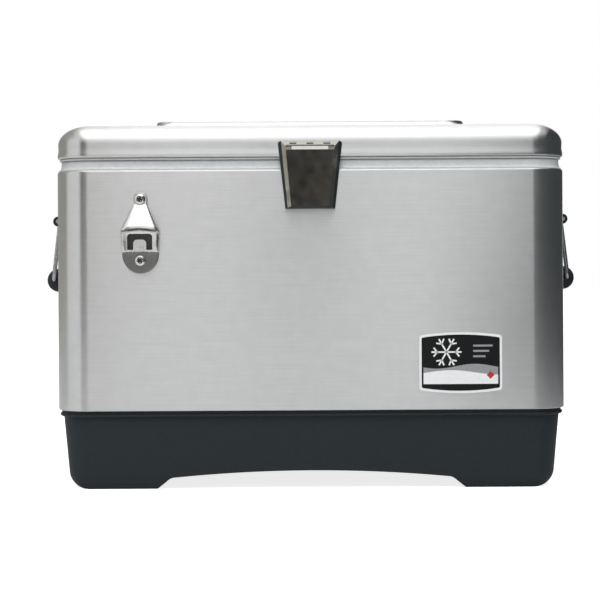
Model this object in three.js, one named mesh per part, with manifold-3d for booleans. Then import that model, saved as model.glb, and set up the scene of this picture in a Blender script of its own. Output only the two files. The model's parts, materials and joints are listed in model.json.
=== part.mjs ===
// A stainless steel picnic cooler: a moulded base, an insulated body wrapped in steel, a steel lid on two
// rear hinges with a snap latch in front, a bail handle on each side, a drain, and a cast bottle opener.
// Millimetres, +Z up, +X to the right seen from the front, which faces -Y.
import * as THREE from "three";
import { mergeVertices } from "three/addons/utils/BufferGeometryUtils.js";
import Module from "manifold-3d";

const wasm = await Module();
wasm.setup();

// Clearances, sheets and walls
const clearance = 0.3;
const overrun = 6;
const steelSheet = 1.2;
const plasticWall = 3;
const leastRadius = 2;
const weldDistance = 0.001;

// Cabinet, from the ground up
const bodyWidth = 580.8;
const bodyDepth = 400;
const cornerRadius = 40;
const baseHeight = 89.2;
const wrapHeight = 272.4;
const bandHeight = 12.7;
const lidWallHeight = 16.7;
const crownRise = 23;
const crownReach = 36;
const panelRise = 6;

// Base tub with its four corner feet
const lipInset = 2;
const lipHeight = 3.2;
const neckInset = 5.9;
const footInset = 12.1;
const footRoundHeight = 20;
const footRoundReach = 22;
const upstandHeight = 21;
const upstandEase = 4;
const frontArchHalfWidth = 175;
const frontArchHeight = 20.4;
const sideArchHalfWidth = 105;
const sideArchHeight = 17;
const archShoulderReach = 15;
const archShoulderHeight = 13;
const archShoulderRadius = 5;

// Steel wrap
const hemReturn = 3;
const shoulderRadius = 3;
const shoulderReturn = 14;

// Inner liner and its flange
const linerSideMargin = 38.9;
const linerFrontMargin = 34;
const linerCornerRadius = 34;
const linerFloorHeight = 52;
const linerFloorRadius = 16;
const linerMouthRadius = 3;
const linerDraftDegrees = 1.5;
const flangeInset = 4.3;
const flareInset = 1.2;
const flareHeight = 4;
const flangeEdgeRadius = 1.6;

// Lid
const lidWallInset = 0.7;
const lidHemHeight = 2.8;
const lidHemReturn = 8;
const lidBeadInset = 3;
const lidBeadThickness = 1.5;
const plugGap = 3;
const plugDepth = 14.5;
const plugChamfer = 4;
const panelFrontMargin = 44;
const panelSideMargin = 108.4;
const panelSlopeReach = 7;
const panelCornerRadius = 24;

// Rear hinges
const hingeSpacing = 340;
const hingeWidth = 60;
const hingeLeafThickness = 2;
const hingeBarrelRadius = 5.5;
const hingePinRadius = 2.5;
const hingeAxisDrop = 5.3;
const bodyLeafHeight = 32;
const bodyLeafDrop = 7;
const lidLeafRise = 4.7;
const lidLeafHeight = 12;
const middleKnuckleWidth = 24;
const pinEnd = 1.5;

// Front latch
const latchTopWidth = 72.7;
const latchBottomWidth = 56;
const latchHeight = 75.5;
const latchGap = 0.8;
const latchProud = 13.8;
const latchEdgeDepth = 2.7;
const latchCrestDepth = 8.7;
const latchFaceDrop = 6.3;
const latchFaceRise = 3.3;
const latchBevelReach = 9.2;
const latchFootBevelReach = 6.5;
const latchWall = 2.6;
const latchPinRadius = 2;
const latchPinRise = 10.7;
const latchPinProud = 8.3;
const latchBarrelRadius = 6.9;
const latchPinHold = 1.5;
const bracketKnuckleRadius = 4.5;
const bracketKnuckleWidth = 7;
const bracketKnuckleMargin = 17.35;
const bracketWidth = 52;
const bracketPlate = 1.6;
const bracketDrop = 6.5;
const bracketRise = 5.5;
const bracketScrewDrop = 3.2;
const bracketScrewLength = 6.4;
const hookRise = 10.6;
const hookThickness = 3;
const hookGap = 0.5;
const keeperWidth = 30;
const keeperPlate = 2;
const keeperHeight = 22;
const keeperNoseReach = 5.2;
const keeperNoseHeight = 4;
const keeperNoseSlope = 4.5;
const keeperScrewSpacing = 16;
const keeperScrewDrop = 6;

// Side handles
const pivotDrop = 54.6;
const pivotProud = 11.6;
const bailRadius = 2.5;
const bailLeanDegrees = 6.6;
const bailDrop = 70.5;
const bailHalfSpan = 75;
const bailBendRadius = 7;
const bailEndProud = 1.5;
const gripLength = 130;
const gripRadius = 14;
const gripOffset = 4;
const gripInnerReach = 13;
const gripInnerCorner = 8;
const earRadius = 6;
const earThickness = 7;
const earSetback = 1.5;
const mountPlate = 2;
const mountHeight = 36;
const mountWidth = 28;
const mountCornerRadius = 5;
const mountScrewSpacing = 22;
const mountScrewInset = 8;

// Drain in the right side, near the rear
const drainHeight = 55;
const drainSetback = 95;
const drainTubeRadius = 8;
const drainBoreRadius = 6;
const drainFlangeRadius = 14;
const drainFlangeThickness = 2.5;
const drainCollarRadius = 10;
const drainCollarLength = 4.5;
const drainGasketRadius = 13;
const drainGasketThickness = 1.5;
const drainNutRadius = 12;
const drainNutThickness = 4;
const drainTubeEnd = 2;
const drainBossRadius = 17;
const drainBossProud = 2.4;
const drainBossDepth = 8;
const drainPlugHeadRadius = 11.5;
const drainPlugHeadThickness = 3;
const drainPlugKnobRadius = 5.5;
const drainPlugKnobLength = 6;
const drainPlugShankLength = 13;
const sumpDepth = 10;
const sumpReach = 38;
const sumpHalfWidth = 20;
const sumpHeight = 34;

// Bottle opener on the left of the front
const openerMargin = 99;
const openerDrop = 33.6;
const openerScrewSpacing = 69;
const openerPlate = 3;
const openerTabRadius = 8;
const openerHoodTopHalf = 7;
const openerHoodHalf = 22;
const openerHoodTopDrop = 7;
const openerHoodLength = 30;
const openerHoodTopProud = 5;
const openerHoodProud = 17;
const openerCheekLength = 23;
const openerCheekHalf = 20.6;
const openerCheekProud = 9;
const openerFootDrop = 23.5;
const openerFaceCorner = 4;
const openerLipDrop = 2.6;
const openerMouthHalf = 14;
const openerMouthHeight = 18;
const openerMouthWall = 3;
const openerTongueHalf = 7.3;
const openerTongueHeight = 11.5;
const openerTongueCorner = 2.5;

// Badge plate on the right of the front
const badgeMargin = 122;
const badgeRise = 52.9;
const badgeWidth = 93.2;
const badgeEdgeHeight = 59.3;
const badgeMiddleHeight = 68.5;
const badgeThickness = 1.2;
const badgeCornerRadius = 3.5;

// Screws: pan head, radius and length of the shank
const screwHeadRadius = 4;
const screwHeadHeight = 2.2;
const screwShankRadius = 1.8;
const screwLength = 14;
const openerScrewHeadRadius = 6.2;
const openerScrewHeadHeight = 3.4;
const openerScrewShankRadius = 2.6;
const openerScrewLength = 18;
const screwHeadCrownShare = 0.6;

// How finely rounds are cut into facets
const cornerSteps = 6;
const roundSteps = 3;
const crownSteps = 5;
const rodSides = 8;
const boltSides = 6;
const barrelSides = 12;
const curveSteps = 4;

// Heights and faces that follow from the sizes above
const quarterTurn = Math.PI / 2;
const wrapTop = baseHeight + wrapHeight;
const lidBottom = wrapTop + bandHeight;
const crownFoot = lidBottom + lidWallHeight;
const lidTop = crownFoot + crownRise;
const panelTop = lidTop + panelRise;
const lidLinerTop = lidBottom - clearance;
const lidLinerBottom = lidLinerTop - lidBeadThickness;
const flangeTop = lidLinerBottom - clearance;
const flangeFoot = wrapTop + clearance;
const frontFace = -bodyDepth / 2;
const rearFace = bodyDepth / 2;
const sideFace = bodyWidth / 2;
const linerWidth = bodyWidth - 2 * linerSideMargin;
const linerDepth = bodyDepth - 2 * linerFrontMargin;
const pivotHeight = wrapTop - pivotDrop;
const bracketKnuckleSpacing = latchTopWidth / 2 - bracketKnuckleMargin;
const openerSide = sideFace - openerMargin;
const openerUpperScrewHeight = wrapTop - openerDrop;
const badgeSide = sideFace - badgeMargin;
const badgeHeight = baseHeight + badgeRise;
const linerDraft = Math.tan(THREE.MathUtils.degToRad(linerDraftDegrees));
const frontReach = -frontFace + Math.max(latchProud, clearance + openerHoodProud);
const hingeProud = clearance + 2 * hingeBarrelRadius;
const rearReach = rearFace + hingeProud;
const earNear = bailHalfSpan + bailBendRadius + earSetback;
const earFar = earNear + earThickness;
const mountNear = earNear - mountPlate;
const mountFar = mountNear + mountWidth;

// Finishes
function finish(color, roughness, metalness) {
  return new THREE.MeshStandardMaterial({ color, roughness, metalness });
}

const finishes = {
  brushedSteel: finish("#c3c5c4", 0.34, 1),
  castSteel: finish("#d2d2d0", 0.2, 1),
  zincSteel: finish("#b4b7b8", 0.35, 1),
  blackNickel: finish("#38322c", 0.18, 0.9),
  blackPlastic: finish("#2e3436", 0.5, 0),
  blackRubber: finish("#1d1f20", 0.7, 0),
  whitePlastic: finish("#e6e8e8", 0.42, 0),
  greyFoam: finish("#d9cfa8", 0.95, 0),
  badgePrint: finish("#26282b", 0.35, 0),
};

// Rounded rectangles seen from above, and the rings of a loft
const plan = (halfWidth, halfDepth, radius) => ({ halfWidth, halfDepth, radius });

function inset(outline, by) {
  const radius = Math.max(outline.radius - by, leastRadius);
  return plan(outline.halfWidth - by, outline.halfDepth - by, radius);
}

function ring(outline, height) {
  const points = [];
  const corners = [[1, -1], [1, 1], [-1, 1], [-1, -1]];
  corners.forEach(([toRight, toRear], corner) => {
    for (let step = 0; step <= cornerSteps; step++) {
      const angle = (corner - 1 + step / cornerSteps) * quarterTurn;
      points.push(new THREE.Vector3(
        toRight * (outline.halfWidth - outline.radius) + outline.radius * Math.cos(angle),
        toRear * (outline.halfDepth - outline.radius) + outline.radius * Math.sin(angle),
        height,
      ));
    }
  });
  return points;
}

// Joins rings of equal count into a closed surface: with caps at both ends, or round into the first ring
function loft(rings, endless = false) {
  const count = rings[0].length;
  const positions = rings.flatMap((points) => points.flatMap((point) => point.toArray()));
  const faces = [];
  const bands = endless ? rings.length : rings.length - 1;
  for (let band = 0; band < bands; band++) {
    const lower = band * count;
    const upper = ((band + 1) % rings.length) * count;
    for (let i = 0; i < count; i++) {
      const next = (i + 1) % count;
      faces.push(lower + i, lower + next, upper + next, lower + i, upper + next, upper + i);
    }
  }
  if (!endless) {
    [[0, true], [rings.length - 1, false]].forEach(([index, facesBack]) => {
      const centre = new THREE.Vector3();
      rings[index].forEach((point) => centre.addScaledVector(point, 1 / count));
      const hub = positions.length / 3;
      positions.push(...centre.toArray());
      for (let i = 0; i < count; i++) {
        const here = index * count + i;
        const next = index * count + (i + 1) % count;
        faces.push(hub, facesBack ? next : here, facesBack ? here : next);
      }
    });
  }
  const geometry = new THREE.BufferGeometry();
  geometry.setAttribute("position", new THREE.Float32BufferAttribute(positions, 3));
  geometry.setIndex(faces);
  return geometry;
}

// A closed geometry as a solid that can be joined and cut, turned to face outwards
function solid(geometry) {
  const bare = geometry.clone();
  bare.deleteAttribute("normal");
  bare.deleteAttribute("uv");
  const welded = mergeVertices(bare, weldDistance);
  const corners = Array.from(welded.index.array);
  const kept = [];
  for (let i = 0; i < corners.length; i += 3) {
    const [a, b, c] = corners.slice(i, i + 3);
    if (a !== b && b !== c && c !== a) kept.push(a, b, c);
  }
  const build = (triVerts) => new wasm.Manifold(new wasm.Mesh({
    numProp: 3,
    vertProperties: welded.attributes.position.array,
    triVerts: new Uint32Array(triVerts),
  }));
  const made = build(kept);
  return made.volume() > 0 ? made : build(kept.reverse());
}

function geometryOf(shape) {
  const mesh = shape.getMesh();
  const geometry = new THREE.BufferGeometry();
  geometry.setAttribute("position", new THREE.Float32BufferAttribute(mesh.vertProperties, 3));
  geometry.setIndex(Array.from(mesh.triVerts));
  return geometry.toNonIndexed();
}

const union = (shapes) => shapes.reduce((all, shape) => all.add(shape));
const cut = (shape, tools) => tools.reduce((left, tool) => left.subtract(tool), shape);

// Straight solids: a block between two corners, and outlines run along an axis between two places
function block(x, y, z) {
  const box = new THREE.BoxGeometry(x[1] - x[0], y[1] - y[0], z[1] - z[0]);
  return solid(box.translate((x[0] + x[1]) / 2, (y[0] + y[1]) / 2, (z[0] + z[1]) / 2));
}

function prism(outline, length) {
  const options = { depth: length, bevelEnabled: false, curveSegments: curveSteps };
  return new THREE.ExtrudeGeometry(outline, options);
}

// The outline holds y and z, and runs along X
function alongX(outline, from, to) {
  const turn = new THREE.Matrix4().makeBasis(
    new THREE.Vector3(0, 1, 0),
    new THREE.Vector3(0, 0, 1),
    new THREE.Vector3(1, 0, 0),
  );
  return solid(prism(outline, to - from).applyMatrix4(turn).translate(from, 0, 0));
}

// The outline holds x and z, and runs along Y
function alongY(outline, from, to) {
  return solid(prism(outline, to - from).rotateX(quarterTurn).translate(0, to, 0));
}

// A round bar along X or along Y, centred on the other two places
function barAlongX(radius, from, to, y, z, sides = rodSides) {
  const bar = new THREE.CylinderGeometry(radius, radius, to - from, sides).rotateZ(quarterTurn);
  return solid(bar.translate((from + to) / 2, y, z));
}

function barAlongY(radius, from, to, x, z, sides = rodSides) {
  const bar = new THREE.CylinderGeometry(radius, radius, to - from, sides);
  return solid(bar.translate(x, (from + to) / 2, z));
}

function outlineOf(points) {
  return new THREE.Shape(points.map(([across, up]) => new THREE.Vector2(across, up)));
}

// Quarter round between two directions, as [sideways, upward] pairs for each step from 0 to 1
function quarter(steps, place) {
  return Array.from({ length: steps + 1 }, (_, step) => {
    const angle = (step / steps) * quarterTurn;
    return place(Math.sin(angle), Math.cos(angle));
  });
}

// The bodies, each a group of the pieces that move together
const cooler = new THREE.Group();
const bodies = {};
for (const name of ["cooler_body", "lid", "latch", "handle_left", "handle_right", "drain_plug"]) {
  bodies[name] = new THREE.Group();
  bodies[name].name = name;
  cooler.add(bodies[name]);
}

function piece(name, group, shape, material) {
  const mesh = new THREE.Mesh(geometryOf(shape), material);
  mesh.name = name;
  group.add(mesh);
  return mesh;
}

// Screws, kept in a list so that what they pass through is drilled for them
const screwTypes = {
  small: {
    headRadius: screwHeadRadius,
    headHeight: screwHeadHeight,
    shankRadius: screwShankRadius,
    length: screwLength,
  },
  opener: {
    headRadius: openerScrewHeadRadius,
    headHeight: openerScrewHeadHeight,
    shankRadius: openerScrewShankRadius,
    length: openerScrewLength,
  },
  buried: {
    headRadius: screwHeadRadius,
    headHeight: screwHeadHeight,
    shankRadius: screwShankRadius,
    length: bracketScrewLength,
  },
};
const screws = [];

function addScrew(name, group, type, place, outward) {
  screws.push({ name, group, type: screwTypes[type], place, outward });
}

// The screw stands on +Y: its head starts at the seat, and its shank runs back from there
function screwSolid(type) {
  const profile = [
    [0, -type.length],
    [type.shankRadius, -type.length],
    [type.shankRadius, clearance],
    [type.headRadius, clearance],
    [type.headRadius * screwHeadCrownShare, clearance + type.headHeight],
    [0, clearance + type.headHeight],
  ].map(([radius, along]) => new THREE.Vector2(radius, along));
  return solid(new THREE.LatheGeometry(profile, boltSides));
}

function screwTurn(outward) {
  return new THREE.Quaternion().setFromUnitVectors(new THREE.Vector3(0, 1, 0), outward);
}

function drillFor(screw) {
  const length = screw.type.length + clearance + overrun;
  const radius = screw.type.shankRadius + clearance;
  const tool = new THREE.CylinderGeometry(radius, radius, length, boltSides);
  tool.translate(0, overrun - length / 2, 0);
  tool.applyQuaternion(screwTurn(screw.outward));
  return solid(tool.translate(...screw.place.toArray()));
}

// Room in the foam for the head of a screw that is driven from inside
function headRoomFor(screw) {
  const radius = screw.type.headRadius + clearance;
  const height = screw.type.headHeight + 2 * clearance;
  const tool = new THREE.CylinderGeometry(radius, radius, height, barrelSides);
  tool.translate(0, height / 2, 0);
  tool.applyQuaternion(screwTurn(screw.outward));
  return solid(tool.translate(...screw.place.toArray()));
}

const drilled = (shape) => cut(shape, screws.map(drillFor));
const towards = {
  front: new THREE.Vector3(0, -1, 0),
  rear: new THREE.Vector3(0, 1, 0),
  right: new THREE.Vector3(1, 0, 0),
  left: new THREE.Vector3(-1, 0, 0),
};

// Plans that the lofts follow
const bodyPlan = plan(sideFace, rearFace, cornerRadius);
const panelBasePlan = plan(sideFace - panelSideMargin, rearFace - panelFrontMargin, panelCornerRadius);
const panelTopPlan = inset(panelBasePlan, panelSlopeReach);
const bodyRing = (by, height) => ring(inset(bodyPlan, by), height);

function linerPlan(height, grow = 0) {
  const drawnIn = (flangeTop - height) * linerDraft;
  return plan(linerWidth / 2 - drawnIn + grow, linerDepth / 2 - drawnIn + grow, linerCornerRadius + grow);
}

const plugPlan = inset(linerPlan(flangeTop), plugGap);

// Base: the round from the sole up to the side, set back by the wall that it is inside
function footRound(back) {
  const centre = footInset + footRoundReach;
  return quarter(roundSteps, (side, up) => bodyRing(
    centre - (footRoundReach - back) * side,
    footRoundHeight - (footRoundHeight - back) * up,
  ));
}

// An arch under the base, as x or y against height, grown outwards by a wall
function archOutline(halfWidth, height, grow) {
  const foot = halfWidth + grow;
  const shoulder = foot - archShoulderReach;
  const shoulderHeight = archShoulderHeight + grow;
  const springing = shoulderHeight - archShoulderRadius;
  const crest = height + grow;
  const outline = new THREE.Shape();
  outline.moveTo(-foot, -overrun);
  outline.lineTo(-foot, 0);
  outline.lineTo(-shoulder - archShoulderRadius, springing);
  outline.quadraticCurveTo(-shoulder, shoulderHeight, -shoulder + archShoulderRadius, shoulderHeight);
  outline.quadraticCurveTo(0, 2 * crest - shoulderHeight, shoulder - archShoulderRadius, shoulderHeight);
  outline.quadraticCurveTo(shoulder, shoulderHeight, shoulder + archShoulderRadius, springing);
  outline.lineTo(foot, 0);
  outline.lineTo(foot, -overrun);
  return outline;
}

function arches(grow) {
  return [
    alongY(archOutline(frontArchHalfWidth, frontArchHeight, grow), frontFace - overrun, rearFace + overrun),
    alongX(archOutline(sideArchHalfWidth, sideArchHeight, grow), -sideFace - overrun, sideFace + overrun),
  ];
}

// Where the drain crosses the wall
const neckHeight = baseHeight - clearance - lipHeight;
const wallSlope = (footInset - neckInset) / (neckHeight - footRoundHeight);
const drainWallFace = sideFace - neckInset - (neckHeight - drainHeight) * wallSlope;
const drainBossFace = drainWallFace + drainBossProud;
const sumpWall = linerPlan(linerFloorHeight).halfWidth;
const drainAxis = { y: drainSetback, z: drainHeight };
const bossBar = (grow) => barAlongX(
  drainBossRadius + grow,
  drainBossFace - drainBossDepth - grow,
  drainBossFace,
  drainAxis.y,
  drainAxis.z,
  barrelSides,
);
const tubeBar = (radius, from, to) => barAlongX(radius, from, to, drainAxis.y, drainAxis.z, barrelSides);
const tubeHole = tubeBar(drainTubeRadius + clearance, sumpWall - overrun, drainBossFace + overrun);

function sumpBlock(grow) {
  return block(
    [sumpWall - sumpReach - grow, sumpWall + grow],
    [drainSetback - sumpHalfWidth - grow, drainSetback + sumpHalfWidth + grow],
    [linerFloorHeight - sumpDepth - grow, linerFloorHeight - sumpDepth + sumpHeight],
  );
}

// Places of all the screws
const openerUpperSeat = frontFace - clearance - openerPlate;
addScrew("opener_screw_upper", bodies.cooler_body, "opener",
  new THREE.Vector3(-openerSide, openerUpperSeat, openerUpperScrewHeight), towards.front);
addScrew("opener_screw_lower", bodies.cooler_body, "opener",
  new THREE.Vector3(-openerSide, openerUpperSeat, openerUpperScrewHeight - openerScrewSpacing),
  towards.front);

const latchPinHeight = lidBottom + latchPinRise;
const latchTop = latchPinHeight + latchBarrelRadius;
const latchBottom = latchTop - latchHeight;
const hookTop = latchBottom + hookRise + hookThickness;
const keeperBottom = hookTop + hookGap;
const keeperTop = keeperBottom + keeperHeight;
const keeperScrewHeight = keeperTop - keeperScrewDrop;
const lidFront = frontFace + lidWallInset;
const lidRear = rearFace - lidWallInset;

for (const [side, sign] of [["left", -1], ["right", 1]]) {
  addScrew(`keeper_screw_${side}`, bodies.cooler_body, "small",
    new THREE.Vector3(sign * keeperScrewSpacing / 2, frontFace - clearance - keeperPlate, keeperScrewHeight),
    towards.front);
  // These are driven from inside the lid into the outer knuckles of the latch bracket
  const bracketScrewPlace = [
    sign * bracketKnuckleSpacing,
    lidFront + steelSheet,
    latchPinHeight - bracketScrewDrop,
  ];
  addScrew(`latch_bracket_screw_${side}`, bodies.lid, "buried",
    new THREE.Vector3(...bracketScrewPlace), towards.rear);
  for (const [end, endSign] of [["left", -1], ["right", 1]]) {
    const across = sign * hingeSpacing / 2 + endSign * hingeWidth / 3;
    const bodyLeafMiddle = lidBottom - hingeAxisDrop - bodyLeafDrop - bodyLeafHeight / 2;
    const lidLeafMiddle = lidBottom + lidLeafRise + lidLeafHeight / 2;
    addScrew(`hinge_${side}_body_screw_${end}`, bodies.cooler_body, "small",
      new THREE.Vector3(across, rearFace + clearance + hingeLeafThickness, bodyLeafMiddle), towards.rear);
    addScrew(`hinge_${side}_lid_screw_${end}`, bodies.lid, "small",
      new THREE.Vector3(across, lidRear + clearance + hingeLeafThickness, lidLeafMiddle), towards.rear);
  }
  for (const [end, endSign] of [["front", -1], ["rear", 1]]) {
    const along = endSign * (mountFar - mountScrewInset);
    for (const [level, levelSign] of [["upper", 1], ["lower", -1]]) {
      const height = pivotHeight + levelSign * mountScrewSpacing / 2;
      addScrew(`handle_${side}_${end}_screw_${level}`, bodies.cooler_body, "small",
        new THREE.Vector3(sign * (sideFace + clearance + mountPlate), along, height), towards[side]);
    }
  }
}

// Base tub: an open moulded pan on four corner feet, with a flat boss for the drain
const upstandInset = hemReturn + 2 * clearance;
const upstandInner = upstandInset + plasticWall;
const upstandTop = baseHeight + upstandHeight;
const sideInner = neckInset + plasticWall;

function makeBase() {
  const hollow = loft([
    ...footRound(plasticWall),
    bodyRing(sideInner, neckHeight),
    bodyRing(upstandInner, neckHeight + upstandEase),
    bodyRing(upstandInner, upstandTop + overrun),
  ]);
  const outside = solid(loft([
    ...footRound(0),
    bodyRing(neckInset, neckHeight),
    bodyRing(lipInset, baseHeight - clearance),
    bodyRing(upstandInset, baseHeight - clearance),
    bodyRing(upstandInset, upstandTop),
  ]));
  const inside = cut(solid(hollow), arches(plasticWall));
  const pan = cut(outside, [inside, ...arches(0)]);
  return cut(pan.add(bossBar(0)), [tubeHole]);
}

piece("base_tub", bodies.cooler_body, makeBase(), finishes.blackPlastic);

// Steel wrap: one band with a hem at the bottom and a rolled shoulder at the top
function makeWrap() {
  const rolled = (back) => quarter(roundSteps, (side, up) => bodyRing(
    shoulderRadius - (shoulderRadius - back) * up,
    wrapTop - shoulderRadius + (shoulderRadius - back) * side,
  ));
  return drilled(solid(loft([
    bodyRing(hemReturn, baseHeight),
    bodyRing(0, baseHeight),
    ...rolled(0),
    bodyRing(shoulderReturn, wrapTop),
    bodyRing(shoulderReturn, wrapTop - steelSheet),
    ...rolled(steelSheet).reverse(),
    bodyRing(steelSheet, baseHeight + steelSheet),
    bodyRing(hemReturn, baseHeight + steelSheet),
  ], true)));
}

piece("outer_shell", bodies.cooler_body, makeWrap(), finishes.brushedSteel);

// Liner: a drafted tub with a rounded floor, a sump, and a flange that hooks down over the wrap
function linerFloor(grow) {
  const radius = linerFloorRadius + grow;
  return quarter(roundSteps, (side, up) => {
    const height = linerFloorHeight + linerFloorRadius - radius * up;
    return ring(inset(linerPlan(height, grow), radius * (1 - side)), height);
  });
}

const skirtInner = flangeInset + plasticWall;

function makeLiner() {
  const tub = solid(loft([
    ...linerFloor(plasticWall),
    ring(linerPlan(flangeTop - plasticWall, plasticWall), flangeTop - plasticWall),
    bodyRing(skirtInner, flangeTop - plasticWall),
    bodyRing(skirtInner, flangeFoot),
    bodyRing(flareInset, flangeFoot),
    bodyRing(flangeInset, flangeFoot + flareHeight),
    bodyRing(flangeInset, flangeTop - flangeEdgeRadius),
    bodyRing(flangeInset + flangeEdgeRadius, flangeTop),
    ring(linerPlan(flangeTop, linerMouthRadius), flangeTop),
    ring(linerPlan(flangeTop - linerMouthRadius), flangeTop - linerMouthRadius),
    ...linerFloor(0).reverse(),
  ]));
  const storage = solid(loft([
    ...linerFloor(0),
    ring(linerPlan(flangeTop - linerMouthRadius), flangeTop - linerMouthRadius),
  ]));
  const sumpWalls = cut(sumpBlock(plasticWall), [storage, sumpBlock(0)]);
  return cut(cut(tub, [sumpBlock(0)]).add(sumpWalls), [tubeHole]);
}

piece("inner_liner", bodies.cooler_body, makeLiner(), finishes.whitePlastic);

// Insulation: foam that fills the space between base, wrap and liner
function makeInsulation() {
  const linerBack = plasticWall + clearance;
  const foamSkirt = skirtInner + clearance;
  const foamTop = flangeTop - linerBack;
  const underShoulder = wrapTop - steelSheet - clearance;
  const wrapInner = steelSheet + clearance;
  const blank = solid(loft([
    ...footRound(linerBack),
    bodyRing(sideInner + clearance, neckHeight),
    bodyRing(upstandInner + clearance, neckHeight + upstandEase),
    bodyRing(upstandInner + clearance, upstandTop + clearance),
    bodyRing(wrapInner, upstandTop + clearance),
    bodyRing(wrapInner, underShoulder - shoulderRadius),
    bodyRing(wrapInner + shoulderRadius, underShoulder),
    bodyRing(shoulderReturn + clearance, underShoulder),
    bodyRing(shoulderReturn + clearance, flangeFoot),
    bodyRing(foamSkirt, flangeFoot),
    bodyRing(foamSkirt, foamTop),
    ring(linerPlan(foamTop, linerBack), foamTop),
    ...linerFloor(linerBack).reverse(),
  ]));
  const tools = [...arches(linerBack), sumpBlock(linerBack), bossBar(clearance), tubeHole];
  return drilled(cut(blank, tools));
}

piece("body_insulation", bodies.cooler_body, makeInsulation(), finishes.greyFoam);

// Lid: a domed steel skin with a raised panel, a plastic liner with a plug, and foam between them
function crown(back) {
  return quarter(crownSteps, (side, up) => bodyRing(
    lidWallInset + crownReach - (crownReach - back) * up,
    crownFoot + (crownRise - back) * side,
  ));
}

function makeLidShell() {
  const ceiling = lidTop - steelSheet;
  return drilled(solid(loft([
    ring(panelTopPlan, panelTop - steelSheet),
    ring(panelBasePlan, ceiling),
    ...crown(steelSheet).reverse(),
    bodyRing(lidWallInset + steelSheet, lidBottom + steelSheet),
    bodyRing(lidHemReturn, lidBottom + steelSheet),
    bodyRing(lidHemReturn, lidBottom),
    bodyRing(lidWallInset, lidBottom),
    bodyRing(0, lidBottom + lidWallInset),
    bodyRing(0, lidBottom + lidHemHeight - lidWallInset),
    bodyRing(lidWallInset, lidBottom + lidHemHeight),
    ...crown(0),
    ring(panelBasePlan, lidTop),
    ring(panelTopPlan, panelTop),
  ])));
}

piece("lid_shell", bodies.lid, makeLidShell(), finishes.brushedSteel);

const plugBottom = lidLinerBottom - plugDepth;

function makeLidLiner() {
  const bead = lidBeadThickness / 2;
  return solid(loft([
    ring(inset(plugPlan, plugChamfer), plugBottom),
    ring(plugPlan, plugBottom + plugChamfer),
    ring(plugPlan, lidLinerBottom),
    bodyRing(lidBeadInset + bead, lidLinerBottom),
    bodyRing(lidBeadInset, lidLinerBottom + bead),
    bodyRing(lidBeadInset + bead, lidLinerTop),
    bodyRing(lidHemReturn + clearance, lidLinerTop),
    bodyRing(lidHemReturn + clearance, lidLinerTop + lidBeadThickness),
    ring(inset(plugPlan, plasticWall), lidLinerTop + lidBeadThickness),
    ring(inset(plugPlan, plasticWall), plugBottom + plugChamfer),
    ring(inset(plugPlan, 2 * plasticWall), plugBottom + plasticWall),
  ]));
}

piece("lid_liner", bodies.lid, makeLidLiner(), finishes.whitePlastic);

function makeLidInsulation() {
  const back = steelSheet + clearance;
  const floor = lidBottom + back;
  const headRooms = screws.filter((screw) => screw.type === screwTypes.buried).map(headRoomFor);
  return cut(drilled(solid(loft([
    ring(inset(plugPlan, plasticWall + plugChamfer), plugBottom + plasticWall + clearance),
    ring(inset(plugPlan, plasticWall + clearance), plugBottom + plugChamfer + clearance),
    ring(inset(plugPlan, plasticWall + clearance), floor),
    bodyRing(lidWallInset + back, floor),
    ...crown(back),
    ring(inset(panelBasePlan, clearance), lidTop - back),
    ring(inset(panelTopPlan, clearance), panelTop - back),
  ]))), headRooms);
}

piece("lid_insulation", bodies.lid, makeLidInsulation(), finishes.greyFoam);

// Rear hinges: each a body leaf with two knuckles, a lid leaf with one between them, and a pin
const hingeAxis = { y: rearFace + clearance + hingeBarrelRadius, z: lidBottom - hingeAxisDrop };
const leafFront = hingeAxis.y - hingeBarrelRadius;

function knuckle(from, to, leafEnd) {
  const barrel = barAlongX(hingeBarrelRadius, from, to, hingeAxis.y, hingeAxis.z, barrelSides);
  const low = Math.min(hingeAxis.z, leafEnd);
  const high = Math.max(hingeAxis.z, leafEnd);
  return barrel.add(block([from, to], [leafFront, leafFront + hingeLeafThickness], [low, high]));
}

function makeHinge(side, sign) {
  const middle = sign * hingeSpacing / 2;
  const left = middle - hingeWidth / 2;
  const right = middle + hingeWidth / 2;
  const inner = middleKnuckleWidth / 2;
  const across = [left, right];
  const bodyLeafTop = hingeAxis.z - bodyLeafDrop;
  const lidLeafFoot = lidBottom + lidLeafRise;
  const bodyLeafBack = leafFront + hingeLeafThickness;
  const bodyLeaf = union([
    block(across, [leafFront, bodyLeafBack], [bodyLeafTop - bodyLeafHeight, bodyLeafTop]),
    knuckle(left, middle - inner - clearance, bodyLeafTop),
    knuckle(middle + inner + clearance, right, bodyLeafTop),
  ]);
  const lidLeafFront = lidRear + clearance;
  const lidLeafBack = lidLeafFront + hingeLeafThickness;
  const lidLeaf = union([
    block(across, [lidLeafFront, lidLeafBack], [lidLeafFoot, lidLeafFoot + lidLeafHeight]),
    knuckle(middle - inner, middle + inner, lidLeafFoot),
    block(
      [middle - inner, middle + inner],
      [lidLeafFront, bodyLeafBack],
      [lidLeafFoot, lidLeafFoot + hingeLeafThickness],
    ),
  ]);
  const bore = barAlongX(
    hingePinRadius + clearance,
    left - overrun,
    right + overrun,
    hingeAxis.y,
    hingeAxis.z,
    barrelSides,
  );
  piece(`hinge_${side}_body_leaf`, bodies.cooler_body, drilled(cut(bodyLeaf, [bore])), finishes.brushedSteel);
  piece(`hinge_${side}_lid_leaf`, bodies.lid, drilled(cut(lidLeaf, [bore])), finishes.brushedSteel);
  const pin = barAlongX(hingePinRadius, left - pinEnd, right + pinEnd, hingeAxis.y, hingeAxis.z, barrelSides);
  piece(`hinge_${side}_pin`, bodies.cooler_body, pin, finishes.zincSteel);
}

makeHinge("left", -1);
makeHinge("right", 1);

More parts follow.
